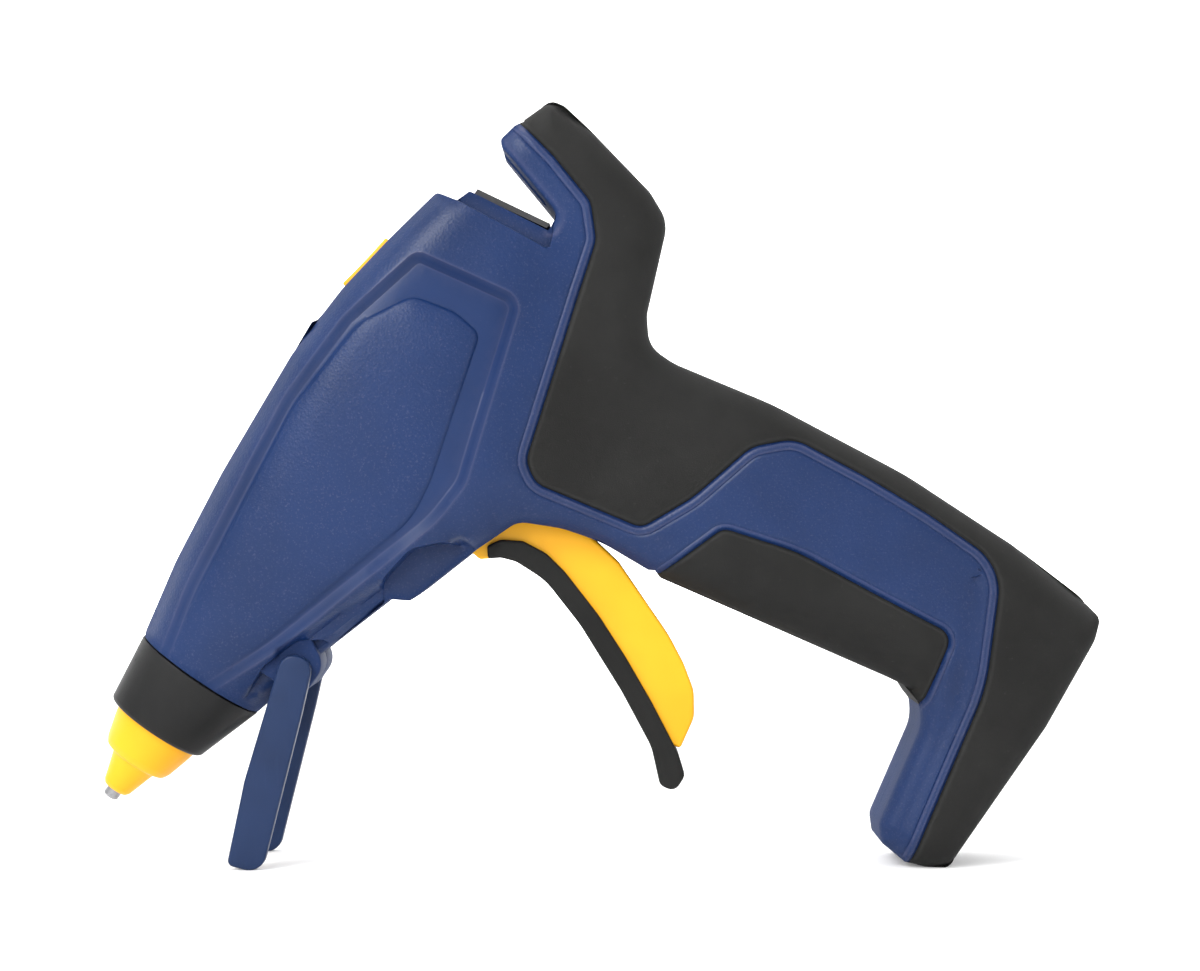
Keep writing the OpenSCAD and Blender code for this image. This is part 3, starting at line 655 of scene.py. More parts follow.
@dataclass(frozen=True)
class Rubber:
    """Soft matte rubber: fine eroded skin, greyed a little along its marked edges as a painted highlight."""

    name: str = "grip_rubber"
    deep: tuple = (0.0065, 0.0065, 0.0060)
    worn: tuple = (0.0115, 0.0115, 0.0108)
    rough: float = 0.62

    def material(self) -> bpy.types.Material:
        """Builds the material."""
        p = Paint(self.name)
        broad = p.noise(0.035, 3.0).band(0.30, 0.75)
        fine = p.noise(0.00030, 2.0, 0.6)
        edge = p.mark("edge")
        dust = p.noise(0.0014, 4.0, 0.7).band(0.62, 0.80)
        ground = p.blend(broad, self.deep, self.worn)
        # painted highlight: greyer colour mixed in along the rubber's marked edges
        edge_highlighted = p.blend(edge * 0.35, ground, (0.075, 0.075, 0.072))
        colour = p.blend(dust * 0.10, edge_highlighted, (0.10, 0.10, 0.095))
        rough = self.rough + 0.10 * fine - 0.06 * broad + 0.2 * p.mark("wall")
        normal = p.bump(fine, 0.00006, 0.55)
        return p.finish(
            Base_Color=colour, Roughness=rough, Normal=normal, Specular_IOR_Level=0.20,
            Sheen_Weight=0.02, Sheen_Roughness=0.5,
        )


@dataclass(frozen=True)
class Metal:
    """Turned or drawn metal with fine lines and dull spots."""

    name: str
    base: tuple = (0.60, 0.60, 0.61)
    rough: float = 0.28
    dull: tuple = (0.32, 0.31, 0.30)

    def material(self) -> bpy.types.Material:
        """Builds the material."""
        p = Paint(self.name)
        lined = p.node("Mapping", None, p.place(), None, (0.0, math.radians(34.8), 0.0), (1.0, 1.0, 14.0))
        lines = p.node("TexNoise", None, Vector=lined, Scale=700.0, Detail=3.0, Roughness=0.6)
        spots = p.noise(0.002, 4.0, 0.7).band(0.55, 0.8)
        colour = p.blend(spots * 0.6, self.base, self.dull)
        rough = self.rough + 0.14 * lines + 0.2 * spots
        return p.finish(
            Base_Color=colour, Roughness=rough, Metallic=1.0, Normal=p.bump(lines, 0.00002, 0.4)
        )


@dataclass(frozen=True)
class Board:
    """Lacquered circuit board with faint copper tracks under the lacquer."""

    name: str = "circuit_board"
    base: tuple = (0.012, 0.10, 0.035)
    track: tuple = (0.03, 0.19, 0.06)

    def material(self) -> bpy.types.Material:
        """Builds the material."""
        p = Paint(self.name)
        weave = p.noise(0.0004, 2.0)
        tracks = p.cells(0.0030).band(0.42, 0.46)
        colour = p.blend(tracks * 0.7, self.base, self.track)
        return p.finish(
            Base_Color=colour, Roughness=0.28 + 0.12 * weave, Normal=p.bump(tracks, 0.00003, 0.6),
            Coat_Weight=0.4,
        )


@dataclass(frozen=True)
class Ceramic:
    """Dry fired or woven insulating material with small pores."""

    name: str
    base: tuple
    shade: tuple
    rough: float = 0.75

    def material(self) -> bpy.types.Material:
        """Builds the material."""
        p = Paint(self.name)
        pores = p.cells(0.0009).band(0.05, 0.3)
        cloud = p.noise(0.006, 3.0).band(0.3, 0.7)
        colour = p.blend(cloud * 0.7, self.base, self.shade)
        return p.finish(
            Base_Color=colour, Roughness=self.rough + 0.1 * cloud, Normal=p.bump(pores, 0.00006, 0.6)
        )


class Finish(Enum):
    """Every finish on the gun, by the material slot it belongs to."""

    HOUSING = "housing_blue"
    GRIP = "grip_rubber"
    RING = "ring_black"
    SLEEVE = "sleeve_silicone"
    TRIGGER = "trigger_yellow"
    NOZZLE = "nozzle_metal"
    STEEL = "steel"
    CHAMBER = "chamber_aluminium"
    HEATER = "heater_ceramic"
    SENSOR = "sensor_glass"
    COLLAR = "collar_fibre"
    SEAL = "seal_silicone"
    MECHANISM = "mechanism_dark"
    BOARD = "board_green"
    SWITCH = "switch_body"
    CELL = "cell_wrap"
    TABS = "cell_tabs"
    LEAD_RED = "lead_red"
    LEAD_PALE = "lead_pale"
    LEAD_BLACK = "lead_black"
    STAND = "stand_blue"
    SCREW = "screw_dark"


class Finishes:
    """Makes each finish once and dresses pieces in it."""

    RECIPES = {
        Finish.HOUSING: GrainedPlastic(),
        Finish.GRIP: Rubber(),
        Finish.RING: SmoothPlastic(
            "ring_black", (0.0055, 0.0055, 0.0055), (0.0085, 0.0085, 0.0085), 0.46, 0.04, 0.0, 0.22
        ),
        Finish.SLEEVE: SmoothPlastic(
            "sleeve_silicone", (0.82, 0.37, 0.004), (0.90, 0.43, 0.007), 0.42, 0.0, 0.08, 0.3
        ),
        Finish.TRIGGER: SmoothPlastic(
            "trigger_yellow", (0.82, 0.38, 0.006), (0.90, 0.44, 0.010), 0.40, 0.0, 0.05, 0.3
        ),
        Finish.NOZZLE: Metal("nozzle_metal", (0.30, 0.30, 0.31), 0.26, (0.10, 0.10, 0.10)),
        Finish.STEEL: Metal("bright_steel"),
        Finish.CHAMBER: Metal("cast_aluminium", (0.66, 0.67, 0.68), 0.42, (0.45, 0.45, 0.45)),
        Finish.HEATER: Ceramic("heater_ceramic", (0.80, 0.74, 0.60), (0.62, 0.55, 0.42)),
        Finish.SENSOR: SmoothPlastic("sensor_bead", (0.25, 0.05, 0.02), (0.34, 0.08, 0.04), 0.2),
        Finish.COLLAR: Ceramic("fibre_collar", (0.32, 0.27, 0.19), (0.22, 0.18, 0.12), 0.7),
        Finish.SEAL: SmoothPlastic("seal_silicone", (0.48, 0.10, 0.04), (0.58, 0.14, 0.06), 0.5),
        Finish.MECHANISM: SmoothPlastic("mechanism_nylon", (0.020, 0.020, 0.022), (0.035, 0.035, 0.037), 0.5),
        Finish.BOARD: Board(),
        Finish.SWITCH: SmoothPlastic("switch_body", (0.016, 0.016, 0.018), (0.030, 0.030, 0.033), 0.4),
        Finish.CELL: SmoothPlastic("cell_wrap", (0.03, 0.14, 0.36), (0.05, 0.19, 0.46), 0.25),
        Finish.TABS: Metal("nickel_strip", (0.66, 0.64, 0.60), 0.3),
        Finish.LEAD_RED: SmoothPlastic("lead_red", (0.40, 0.02, 0.02), (0.52, 0.04, 0.03), 0.4),
        Finish.LEAD_PALE: SmoothPlastic("lead_pale", (0.60, 0.60, 0.57), (0.74, 0.74, 0.71), 0.4),
        Finish.LEAD_BLACK: SmoothPlastic("lead_black", (0.012, 0.012, 0.012), (0.022, 0.022, 0.022), 0.4),
        Finish.STAND: SmoothPlastic(
            "stand_blue", (0.0065, 0.019, 0.062), (0.0090, 0.025, 0.080), 0.38, 0.06, 0.0, 0.24
        ),
        Finish.SCREW: Metal("blackened_steel", (0.10, 0.10, 0.11), 0.36, (0.05, 0.05, 0.05)),
    }

    def __init__(self) -> None:
        """Builds every finish."""
        self.made = {finish: recipe.material() for finish, recipe in self.RECIPES.items()}

    def dress(self, obj: bpy.types.Object, finish: Finish) -> None:
        """Gives obj one finish all over."""
        obj.data.materials.clear()
        obj.data.materials.append(self.made[finish])

    def dress_frame(self, frame: dict) -> None:
        """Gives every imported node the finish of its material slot."""
        for entry in frame["record"]["subparts"]:
            node = frame["nodes"][entry["node"]]
            self.dress(node, Finish(entry["material_slot"]))
            log.info("node %s dressed in %s", entry["node"], entry["material_slot"])


# ---------------------------------------------------------------- the body's skin


@dataclass(frozen=True)
class Shoulder:
    """One long edge of the body, rounded off from the side to the rim.

    across and drop are how far the round reaches along the side and towards the middle,
    each given at the start and at the end of the edge.
    """

    corners: tuple
    across: Point
    drop: Point

    def fall(self, points: np.ndarray) -> np.ndarray:
        """How far the side drops towards the middle at each point."""
        gap, along = distance(points, outline(self.corners, 1.5, False), False)
        reach = self.across[0] + (self.across[1] - self.across[0]) * along
        depth = self.drop[0] + (self.drop[1] - self.drop[0]) * along
        t = np.clip(1 - gap / reach, 0, 1)
        return depth * (1 - np.sqrt(np.maximum(1 - t**2, 0)))


@dataclass(frozen=True)
class Trace:
    """A groove, or a line of painted highlight, that follows a border: its offset, its half width and its
    strength.
    """

    at: float
    width: float
    strength: float

    def along(self, gap: np.ndarray) -> np.ndarray:
        """Strength at each distance from the border."""
        return self.strength * np.exp(-(((gap - self.at) / self.width) ** 2))


@dataclass(frozen=True)
class ScrewHole:
    """A recess for a screw on the right side."""

    x: float
    z: float


@dataclass
class Body:
    """The outer form of the housing and its grips, as one height over the middle plane."""

    BARREL_AT = (34, 52, 72, 90, 106, 122, 138, 151, 160, 168, 176)
    BARREL_HALF = (15.2, 18.0, 20.2, 21.2, 21.5, 21.4, 20.5, 18.8, 16.9, 15.2, 14.5)
    HOOK_EDGE = 4
    PANEL_CHAMFER = 2.3
    REAR_GROOVES = (Trace(0, 0.42, 0.75), Trace(-2.1, 0.22, 0.30))
    FRONT_GROOVES = (Trace(0, 0.38, 0.7), Trace(-1.4, 0.20, 0.22))
    TOE_VALLEY = Trace(-4.6, 2.0, 0.9)
    PANEL_LIP = Trace(0, 0.6, 0.12)
    # painted highlights: lines of lighter colour along the panel's border and chamfer, the grips' borders and
    # the hook's inner edge
    PANEL_HIGHLIGHT = Trace(0, 0.30, 0.30)
    CHAMFER_HIGHLIGHT = Trace(PANEL_CHAMFER, 0.25, 0.25)
    REAR_HIGHLIGHTS = (Trace(-1.7, 0.25, 0.35), Trace(-0.7, 0.2, 0.3), Trace(0.5, 0.25, 0.35))
    FRONT_HIGHLIGHTS = (Trace(-1.1, 0.2, 0.25), Trace(0.5, 0.25, 0.35))
    HOOK_HIGHLIGHT = Trace(1.3, 0.3, 0.5)
    RIM_SHADE = Trace(0, 1.8, 0.9)
    # openings in the rim, as x from and to and z from and to
    TRIGGER_SLOT = (91.5, 114.5, -91, -35)
    BUTTON_SLOT = (122.3, 137, 15, 40)
    INLET_SLOT = (154.8, 158.4, -9.3, 9.3)

    handle_half: float = 16.0
    slot_half: float = 7.8
    channel_half: float = 4.7
    button_half: float = 4.8
    inlet_half: float = 12.2
    seam: float = 0.05
    hole_r: float = 2.9
    hole_floor: float = 6.2
    block_half: float = 14.0
    rest_half: float = 12.7
    leg_room_half: float = 13.2
    notch_half: float = 10.4
    holes: tuple = (
        ScrewHole(60, 13),
        ScrewHole(83.5, -23.5),
        ScrewHole(141, -13.5),
        ScrewHole(169, -18),
        ScrewHole(127, -63.5),
        ScrewHole(146.5, -149),
        ScrewHole(104, -151),
    )

    def __post_init__(self) -> None:
        """Lays out every outline of the body."""
        self.rim = outline(
            corners(
                (34.4, 14.1), (52, 17.2, 60), (74, 19.6, 150), (104, 21.4, 120), (112.3, 21.6, 0.6),
                (113.4, 21.1, 0.6), (122, 20.4, 40), (137, 18.2, 50), (150.9, 15.7, 1.2), (151.7, 10.9, 0.6),
                (155.2, 9.7, 0.6), (157.9, -9.2, 0.3), (161.9, -9.2, 3.5), (167.1, 9.6, 2),
                (168.5, 10.8, 1.2), (174.0, 9.6, 0.6), (174.5, 8.9), (175.1, 9.2), (181.8, 6.8, 2.8),
                (182.3, 3.5, 3), (181.2, -5, 14), (177.7, -22.5, 12), (174.6, -29.4, 8), (155.3, -37.2, 6),
                (150, -41.5, 6), (150, -48, 12), (155, -71, 120), (159, -103.6, 150), (159.8, -131.7, 100),
                (158.9, -151, 20), (157.4, -156.3, 2.2), (152.6, -158, 8), (131, -160, 40),
                (94.6, -160, 3), (93.3, -159.1, 0.6), (91, -155.7, 0.8), (90.1, -153), (89.4, -151.5, 0.6),
                (89.9, -144.8, 1.6), (93, -142, 3), (115.8, -137.4, 8), (119.4, -134.5, 2),
                (121, -129.6, 2.5), (120.4, -126, 6), (109.8, -72.3, 0.6), (110.5, -70.4),
                (109.7, -69.2, 0.5), (108.8, -57, 30), (106.4, -48.5, 14), (102.2, -39.8, 5),
                (92, -35.9, 1), (77.6, -31.5, 2.5), (74.6, -30.4, 1), (72.4, -26.6, 0.8),
                (54, -20.9, 60), (34.4, -16.3),
            ),
            1.1,
        )
        self.rear_border = outline(
            corners(
                (174.4, 13), (171.7, -1.1, 4), (168.2, -13.2, 5), (162, -19, 6), (151, -22.3, 20),
                (114, -33.9, 5), (111.3, -38.5, 5), (116.4, -62.6, 4), (128, -68, 30), (144.5, -72.2, 9),
                (151.3, -79, 9), (153.4, -97, 60), (154.4, -112, 60), (154.4, -131.5, 12),
                (130.5, -143.8, 40), (106.6, -148.7, 60), (84, -153.4), (84, -172), (190, -172),
                (190, 13),
            ),
            1.0,
        )
        self.front_border = outline(
            corners(
                (104, -69.2), (114.6, -73.1, 20), (126.5, -77.2, 3.5), (131.5, -93.5, 40),
                (133.4, -110.9, 60), (135.9, -131.2, 3.2), (121.4, -134.4, 3), (110, -133.4),
            ),
            1.0,
        )
        self.panel = outline(
            corners(
                (26, 6), (50, 11.4, 60), (95.5, 17, 30), (117.2, 16.2, 8), (138, 11.4, 3.4),
                (142.6, -13.4, 4.5), (102.5, -26.4, 10), (92, -25.8, 30), (50, -13.2, 60), (26, -3),
            ),
            1.0,
        )
        self.dome = outline(
            corners(
                (26, 5), (50, 8.5, 60), (95, 14.2, 30), (118, 12.8, 12), (129.5, 6.5, 6),
                (131.8, -3, 10), (131, -10.2, 3), (99, -19.6, 20), (90, -21, 30), (50, -10.2, 60), (26, -2),
            ),
            1.0,
        )
        self.block = outline(
            corners((151.6, 12), (160, 12), (160, -9.4), (158.4, -10.4), (154.4, -12, 0.6)), 0.8
        )
        self.notch = outline(
            corners((33, -30), (33.6, -15.6), (36.6, -12.6, 1), (45, -12.4, 3), (53.5, -15.2, 2.5),
                    (57, -19.5, 2), (57, -30)), 0.8
        )
        self.scoop = outline(
            corners((70.5, -31), (70.5, -26), (74.6, -22.8, 5), (84.5, -24.2, 6), (89.5, -29, 3),
                    (92.5, -35), (92.5, -40)), 0.8
        )
        self.folded_leg = outline(
            corners((44, -16), (49.6, -12.4), (73, -22.2), (93, -31.5), (93, -44), (44, -40)), 1.0
        )
        self.shoulders = (
            # top of the barrel
            Shoulder(tuple(corners((20, 12), (34.4, 14.1), (52, 17.2), (74, 19.6), (104, 21.5), (122, 20.6),
                                   (137, 18.4), (151, 15.9), (170, 12.6))), (15.5, 10), (15, 8)),
            # keel of the barrel
            Shoulder(tuple(corners((20, -12.8), (34.4, -16.3), (54, -21), (72, -26), (80, -31),
                                   (92, -35.5), (99, -38.3))), (16, 15), (15, 7)),
            # over the trigger and down the handle's front
            Shoulder(tuple(corners((92, -35.9), (102.2, -39.8, 5), (106.4, -48.5), (108.8, -57),
                                   (109.8, -72), (120.4, -126), (121, -131))), (9, 8.5), (7, 8.5)),
            # back of the hook, hump and handle
            Shoulder(tuple(corners((174, 9.6), (181.8, 6.8, 2.8), (181.2, -5, 14), (177.7, -22.5, 12),
                                   (174.6, -29.4, 8), (155.3, -37.2, 6), (150, -41.5, 6), (150, -48, 12),
                                   (155, -71), (159, -103.6), (159.8, -131.7), (158.4, -154))),
                     (6.5, 10.5), (5.5, 9.5)),
            # inner edge of the hook
            Shoulder(tuple(corners((158.4, -9.6), (161.9, -9.2, 3.5), (167.1, 9.6, 1.5), (168.5, 10.8, 1.2),
                                   (174.2, 9.4))), (1.3, 1.6), (0.8, 1.3)),
            # foot
            Shoulder(tuple(corners((159.2, -150), (157.4, -156.3, 2.2), (152.6, -158, 8), (131, -160),
                                   (94.6, -160, 3), (91, -155.7), (89.3, -151.5), (89.9, -144.8, 1.6),
                                   (93, -142, 3), (115.8, -137.4, 8), (119.4, -134.5))), (5.5, 6.5), (5, 6)),
        )

    # -- zones

    def in_channel(self, points: np.ndarray) -> np.ndarray:
        """Points on the part of the hook that the channel splits."""
        return (points[:, 0] > 160) & (points[:, 1] > -self.channel_half)

    def rim_inner(self, points: np.ndarray) -> np.ndarray:
        """Where the rim's wall ends over the middle plane, for points on the outline."""
        x, z = points[:, 0], points[:, 1]
        inner = np.full(len(points), self.seam)
        inner[self.in_channel(points)] = self.channel_half
        for (x0, x1, z0, z1), half in (
            (self.TRIGGER_SLOT, self.slot_half),
            (self.BUTTON_SLOT, self.button_half),
            (self.INLET_SLOT, self.inlet_half),
        ):
            inner[(x > x0) & (x < x1) & (z > z0) & (z < z1)] = half
        return inner

    # -- height

    def broad(self, points: np.ndarray) -> np.ndarray:
        """Half width before the edges are rounded."""
        x, z = points[:, 0], points[:, 1]
        barrel = smooth_curve(x, self.BARREL_AT, self.BARREL_HALF)
        handle = self.handle_half - 0.5 * soft_step(-z, 130, 150)
        behind = (x - 162) * 0.458 - (z + 12) * 0.888
        share = soft_step(behind, -15, 13)
        return barrel * (1 - share) + handle * share

    def height(self, points: np.ndarray, side: Side) -> np.ndarray:
        """Height of the finished surface over the middle plane."""
        y = self.broad(points)
        falls = np.array([s.fall(points) for s in self.shoulders])
        y = y - (falls**3).sum(0) ** (1 / 3)
        y = y - self.panel_depth(points)
        # grooves beside the borders, crown of the rubber and valley of the blue toe
        rear = signed(points, self.rear_border)
        front = signed(points, self.front_border)
        for on_rear, on_front in zip(self.REAR_GROOVES, self.FRONT_GROOVES):
            y = y - on_rear.along(rear) - on_front.along(front)
        y = y + 0.25 * soft_step(rear, 0.3, 2.5) + 0.2 * soft_step(front, 0.3, 2.0)
        toe = (points[:, 0] > 88) & (points[:, 1] < -128)
        y = y - np.where(toe, self.TOE_VALLEY.along(rear), 0)
        # steps: inlet block, room for the folded legs, rest block, recess over the stand
        y = self.stepped(y, signed(points, self.block), self.block_half, 0.35)
        y = self.stepped(y, signed(points, self.folded_leg), self.leg_room_half, 1.6)
        y = self.rest_pad(y, points)
        y = self.stepped(y, signed(points, self.notch), self.notch_half, 0.4)
        if side is Side.RIGHT:
            for hole in self.holes:
                r = np.hypot(points[:, 0] - hole.x, points[:, 1] - hole.z)
                y = np.where(r < self.hole_r + 0.02, self.hole_floor, y)
        return np.maximum(y, self.seam + 0.3)

    def rest_pad(self, y: np.ndarray, points: np.ndarray) -> np.ndarray:
        """Flat pad under the barrel: sunk at its top and proud along the keel."""
        share = soft_step(signed(points, self.scoop), 0.0, 0.5)
        t = np.clip(1 - distance(points, self.rim, True)[0] / 1.3, 0, 1)
        pad = self.rest_half - 1.0 * (1 - np.sqrt(1 - t**2))
        return y * (1 - share) + pad * share

    @staticmethod
    def stepped(y: np.ndarray, gap: np.ndarray, low: float, fillet: float) -> np.ndarray:
        """Drops the surface to a lower height inside a loop."""
        share = soft_step(gap, 0.0, fillet)
        return np.where(gap > 0, y * (1 - share) + np.minimum(y, low) * share, y)

    def panel_depth(self, points: np.ndarray) -> np.ndarray:
        """How far the side panel lies under the barrel's side."""
        x = points[:, 0]
        strength = 0.25 + soft_step(x, 34, 66) * 0.65 + 0.1 * soft_step(x, 60, 110)
        gap = signed(points, self.panel)
        chamfer = np.clip(gap / self.PANEL_CHAMFER, 0, 1)
        lip = self.PANEL_LIP.along(gap)
        dome = signed(points, self.dome)
        floor = 1.75 + 0.75 * soft_step(x, 112, 136)
        rise = floor - 0.15
        swell = np.sqrt(np.maximum(1 - (1 - np.clip(dome / 15.0, 0, 1)) ** 2, 0))
        inner = floor * chamfer - np.where(dome > 0, rise * swell, 0)
        return np.where(gap > 0, inner * strength, 0) - lip * strength * 0.6

    # -- marks for the finish

    def marks(self, points: np.ndarray) -> dict[str, np.ndarray]:
        """Where the grain is coarse and where edges get a painted highlight, from 0 to 1."""
        gap = signed(points, self.panel)
        dome = signed(points, self.dome)
        strength = soft_step(points[:, 0], 30, 44)
        smooth = (gap > 0) & (dome < 0.5)
        grain = np.where(smooth, 0.12, 0.75 + 0.25 * soft_step(dome, 0.5, 3))
        # painted highlight along the panel's border and chamfer, the grips' borders and the hook's inner edge
        edge = self.PANEL_HIGHLIGHT.along(gap) * strength
        edge += self.CHAMFER_HIGHLIGHT.along(gap) * strength * np.where(dome < 2, 1, 0)
        rear = signed(points, self.rear_border)
        front = signed(points, self.front_border)
        edge += sum(light.along(rear) for light in self.REAR_HIGHLIGHTS)
        edge += sum(light.along(front) for light in self.FRONT_HIGHLIGHTS)
        hook = outline(self.shoulders[self.HOOK_EDGE].corners, 1.0, False)
        edge += self.HOOK_HIGHLIGHT.along(distance(points, hook, False)[0])
        wall = self.RIM_SHADE.along(distance(points, self.rim, True)[0])
        return {"grain": grain, "edge": np.clip(edge, 0, 1), "wall": wall}


class Region(Enum):
    """What a stretch of the skin belongs to."""

    HOUSING = "housing"
    REAR = "grip_rear"
    FRONT = "grip_front"


class Skin:
    """The skin of one side of the body, as a net of triangles over the side view."""

    SHOULDER_RINGS = (0.12, 0.45, 1.0, 1.8, 2.8, 4.0, 5.4, 7.0, 9.0, 11.5)
    PITCH = 1.7
    THICKNESS = 1.3
    FRONT_END = 34.5

    def __init__(self, body: Body, side: Side) -> None:
        """Nets the side view and lifts it to the body's height."""
        self.body = body
        self.side = side
        self.flat, self.triangles = self._net()
        self.height = body.height(self.flat, side)
        middles = self.flat[self.triangles].mean(1)
        rear = inside(middles, body.rear_border)
        front = inside(middles, body.front_border)
        self.region = np.where(rear, 1, np.where(front, 2, 0))
        self.marks = body.marks(self.flat)

    def _net(self) -> tuple[np.ndarray, np.ndarray]:
        """Nets the outline with every feature line in it.

        Returns:
            The net's points and its triangles.
        """
        body = self.body
        points: list[np.ndarray] = []
        edges: list[tuple[int, int]] = []

        def lay(line: np.ndarray, closed: bool, check: bool = True) -> None:
            """Adds a line's points and the edges between neighbours."""
            if check:
                ok = inside(line, body.rim) & (distance(line, body.rim, True)[0] > 0.08)
            else:
                ok = np.ones(len(line), bool)
            first = len(points)
            points.extend(line)
            count = len(line)
            for i in range(count if closed else count - 1):
                j = (i + 1) % count
                if ok[i] and ok[j]:
                    edges.append((first + i, first + j))
            dropped.extend(first + i for i in range(count) if not ok[i])

        dropped: list[int] = []
        lay(body.rim, True, check=False)
        turn = -1 if self._area(body.rim) < 0 else 1
        for offset in self.SHOULDER_RINGS:
            for run in shifted(body.rim, turn * offset):
                lay(run, False)
        for loop, offsets in (
            (body.rear_border, (-4.6, -2.8, -2.35, -2.1, -1.85, -1.3, -0.6, -0.3, 0, 0.3, 0.6, 1.3)),
            (body.front_border, (-2.4, -1.65, -1.4, -1.15, -0.6, -0.3, 0, 0.3, 0.6, 1.2)),
            (body.panel, (-0.5, 0, 0.3, 1.2, 2.05, 2.3, 2.6)),
            (body.dome, (0, 0.25, 0.8, 1.8, 3.4)),
            (body.block, (0, 0.35)),
            (body.scoop, (0, 0.5)),
            (body.notch, (0, 0.4)),
        ):
            turn = -1 if self._area(loop) < 0 else 1
            for offset in offsets:
                if offset == 0:
                    lay(loop, True)
                else:
                    for run in shifted(loop, turn * offset):
                        lay(run, False)
        inner = outline(corners((159, -body.channel_half), (184, -body.channel_half)), 1.0, False)
        lay(inner, False)
        if self.side is Side.RIGHT:
            for hole in body.holes:
                for r in (body.hole_r, body.hole_r + 0.08, body.hole_r + 0.5):
                    ring = np.array(
                        [
                            (hole.x + r * math.cos(a), hole.z + r * math.sin(a))
                            for a in np.linspace(0, 2 * math.pi, 28, endpoint=False)
                        ]
                    )
                    lay(ring, True)
        skip = set(dropped)
        used = np.array([p for i, p in enumerate(points) if i not in skip])
        low, high = body.rim.min(0), body.rim.max(0)
        rows = np.arange(low[1], high[1], self.PITCH * 0.866)
        lattice = np.array(
            [
                (x + (self.PITCH / 2 if k % 2 else 0), z)
                for k, z in enumerate(rows)
                for x in np.arange(low[0], high[0], self.PITCH)
            ]
        )
        lattice = lattice[inside(lattice, body.rim)]
        near = np.full(len(lattice), 1e9)
        for start in range(0, len(lattice), 1500):
            part = lattice[start : start + 1500]
            near[start : start + 1500] = np.sqrt(
                ((part[:, None] - used[None]) ** 2).sum(2).min(1)
            )
        lattice = lattice[near > self.PITCH * 0.62]
        order = {}
        kept: list[Vector] = []
        for i, p in enumerate(points):
            if i not in skip:
                order[i] = len(kept)
                kept.append(Vector((float(p[0]), float(p[1]))))
        kept.extend(Vector((float(p[0]), float(p[1]))) for p in lattice)
        links = [(order[a], order[b]) for a, b in edges if a in order and b in order]
        verts, _, faces, *_ = delaunay_2d_cdt(kept, links, [], 0, 0.02)
        flat = np.array([(v.x, v.y) for v in verts])
        triangles = np.array([f for f in faces if len(f) == 3])
        a, b, c = (flat[triangles[:, k]] for k in range(3))
        clockwise = (b[:, 0] - a[:, 0]) * (c[:, 1] - a[:, 1]) < (c[:, 0] - a[:, 0]) * (b[:, 1] - a[:, 1])
        triangles[clockwise] = triangles[clockwise][:, ::-1]
        middles = flat[triangles].mean(1)
        return flat, triangles[inside(middles, body.rim)]

    @staticmethod
    def _area(loop: np.ndarray) -> float:
        """Signed area of a loop, positive when it runs anticlockwise."""
        x, z = loop[:, 0], loop[:, 1]
        return float((x * np.roll(z, -1) - np.roll(x, -1) * z).sum() / 2)

    def piece(self, region: Region, name: str) -> bpy.types.Object:
        """Makes one piece of the skin, with its rim wall and a wall thickness.

        Args:
            region: which stretch of the skin.
            name: the piece's name.

        Returns:
            The new object.
        """
        code = list(Region).index(region)
        body, sign = self.body, self.side.value
        faces = self.triangles[self.region == code]
        used, compact = np.unique(faces, return_inverse=True)
        faces = compact.reshape(faces.shape)
        flat, height = self.flat[used], self.height[used]
        mesh = bmesh.new()
        grain = mesh.verts.layers.float.new("grain")
        # the edge layer carries where the finishes paint a highlight
        edge = mesh.verts.layers.float.new("edge")
        inward = mesh.verts.layers.float.new("wall")

        def vertex(x: float, y: float, z: float, at: Optional[int] = None) -> bmesh.types.BMVert:
            """Adds one point, with the marks of a net point."""
            made = mesh.verts.new((x, sign * y, z))
            if at is not None:
                made[grain] = float(self.marks["grain"][used[at]])
                made[edge] = float(self.marks["edge"][used[at]])
                made[inward] = float(self.marks["wall"][used[at]])
            else:
                made[grain] = 0.6
                made[inward] = 1.0
            return made

        top = [vertex(p[0], y, p[1], i) for i, (p, y) in enumerate(zip(flat, height))]

        def face(*verts: bmesh.types.BMVert) -> None:
            """Adds one face, turned to suit the side."""
            mesh.faces.new(verts if sign > 0 else verts[::-1])

        counted: dict[tuple[int, int], int] = {}
        for a, b, c in faces:
            for i, j in ((a, b), (b, c), (c, a)):
                counted[(i, j)] = counted.get((i, j), 0) + 1
            # seen from +y, x runs right and z up the other way round
            face(top[a], top[c], top[b])
        border = [(i, j) for i, j in counted if (j, i) not in counted]
        on_rim = distance(flat, body.rim, True)[0] < 0.03
        inner = body.rim_inner(flat)
        walls: dict[int, list[bmesh.types.BMVert]] = {}

        def wall(i: int) -> list[bmesh.types.BMVert]:
            """Points down the rim's wall under a net point."""
            if i not in walls:
                low = min(float(inner[i]), float(height[i]) - 0.05)
                steps = [float(height[i]) + (low - float(height[i])) * s for s in (0.5, 1.0)]
                walls[i] = [top[i], *(vertex(flat[i][0], y, flat[i][1]) for y in steps)]
            return walls[i]

        def open_front(i: int) -> bool:
            """Whether a net point lies on the open front of the barrel."""
            return flat[i][0] < self.FRONT_END

        for i, j in border:
            if not (on_rim[i] and on_rim[j]) or (open_front(i) and open_front(j)):
                continue
            a, b = wall(i), wall(j)
            for k in range(2):
                face(a[k], b[k], b[k + 1], a[k + 1])
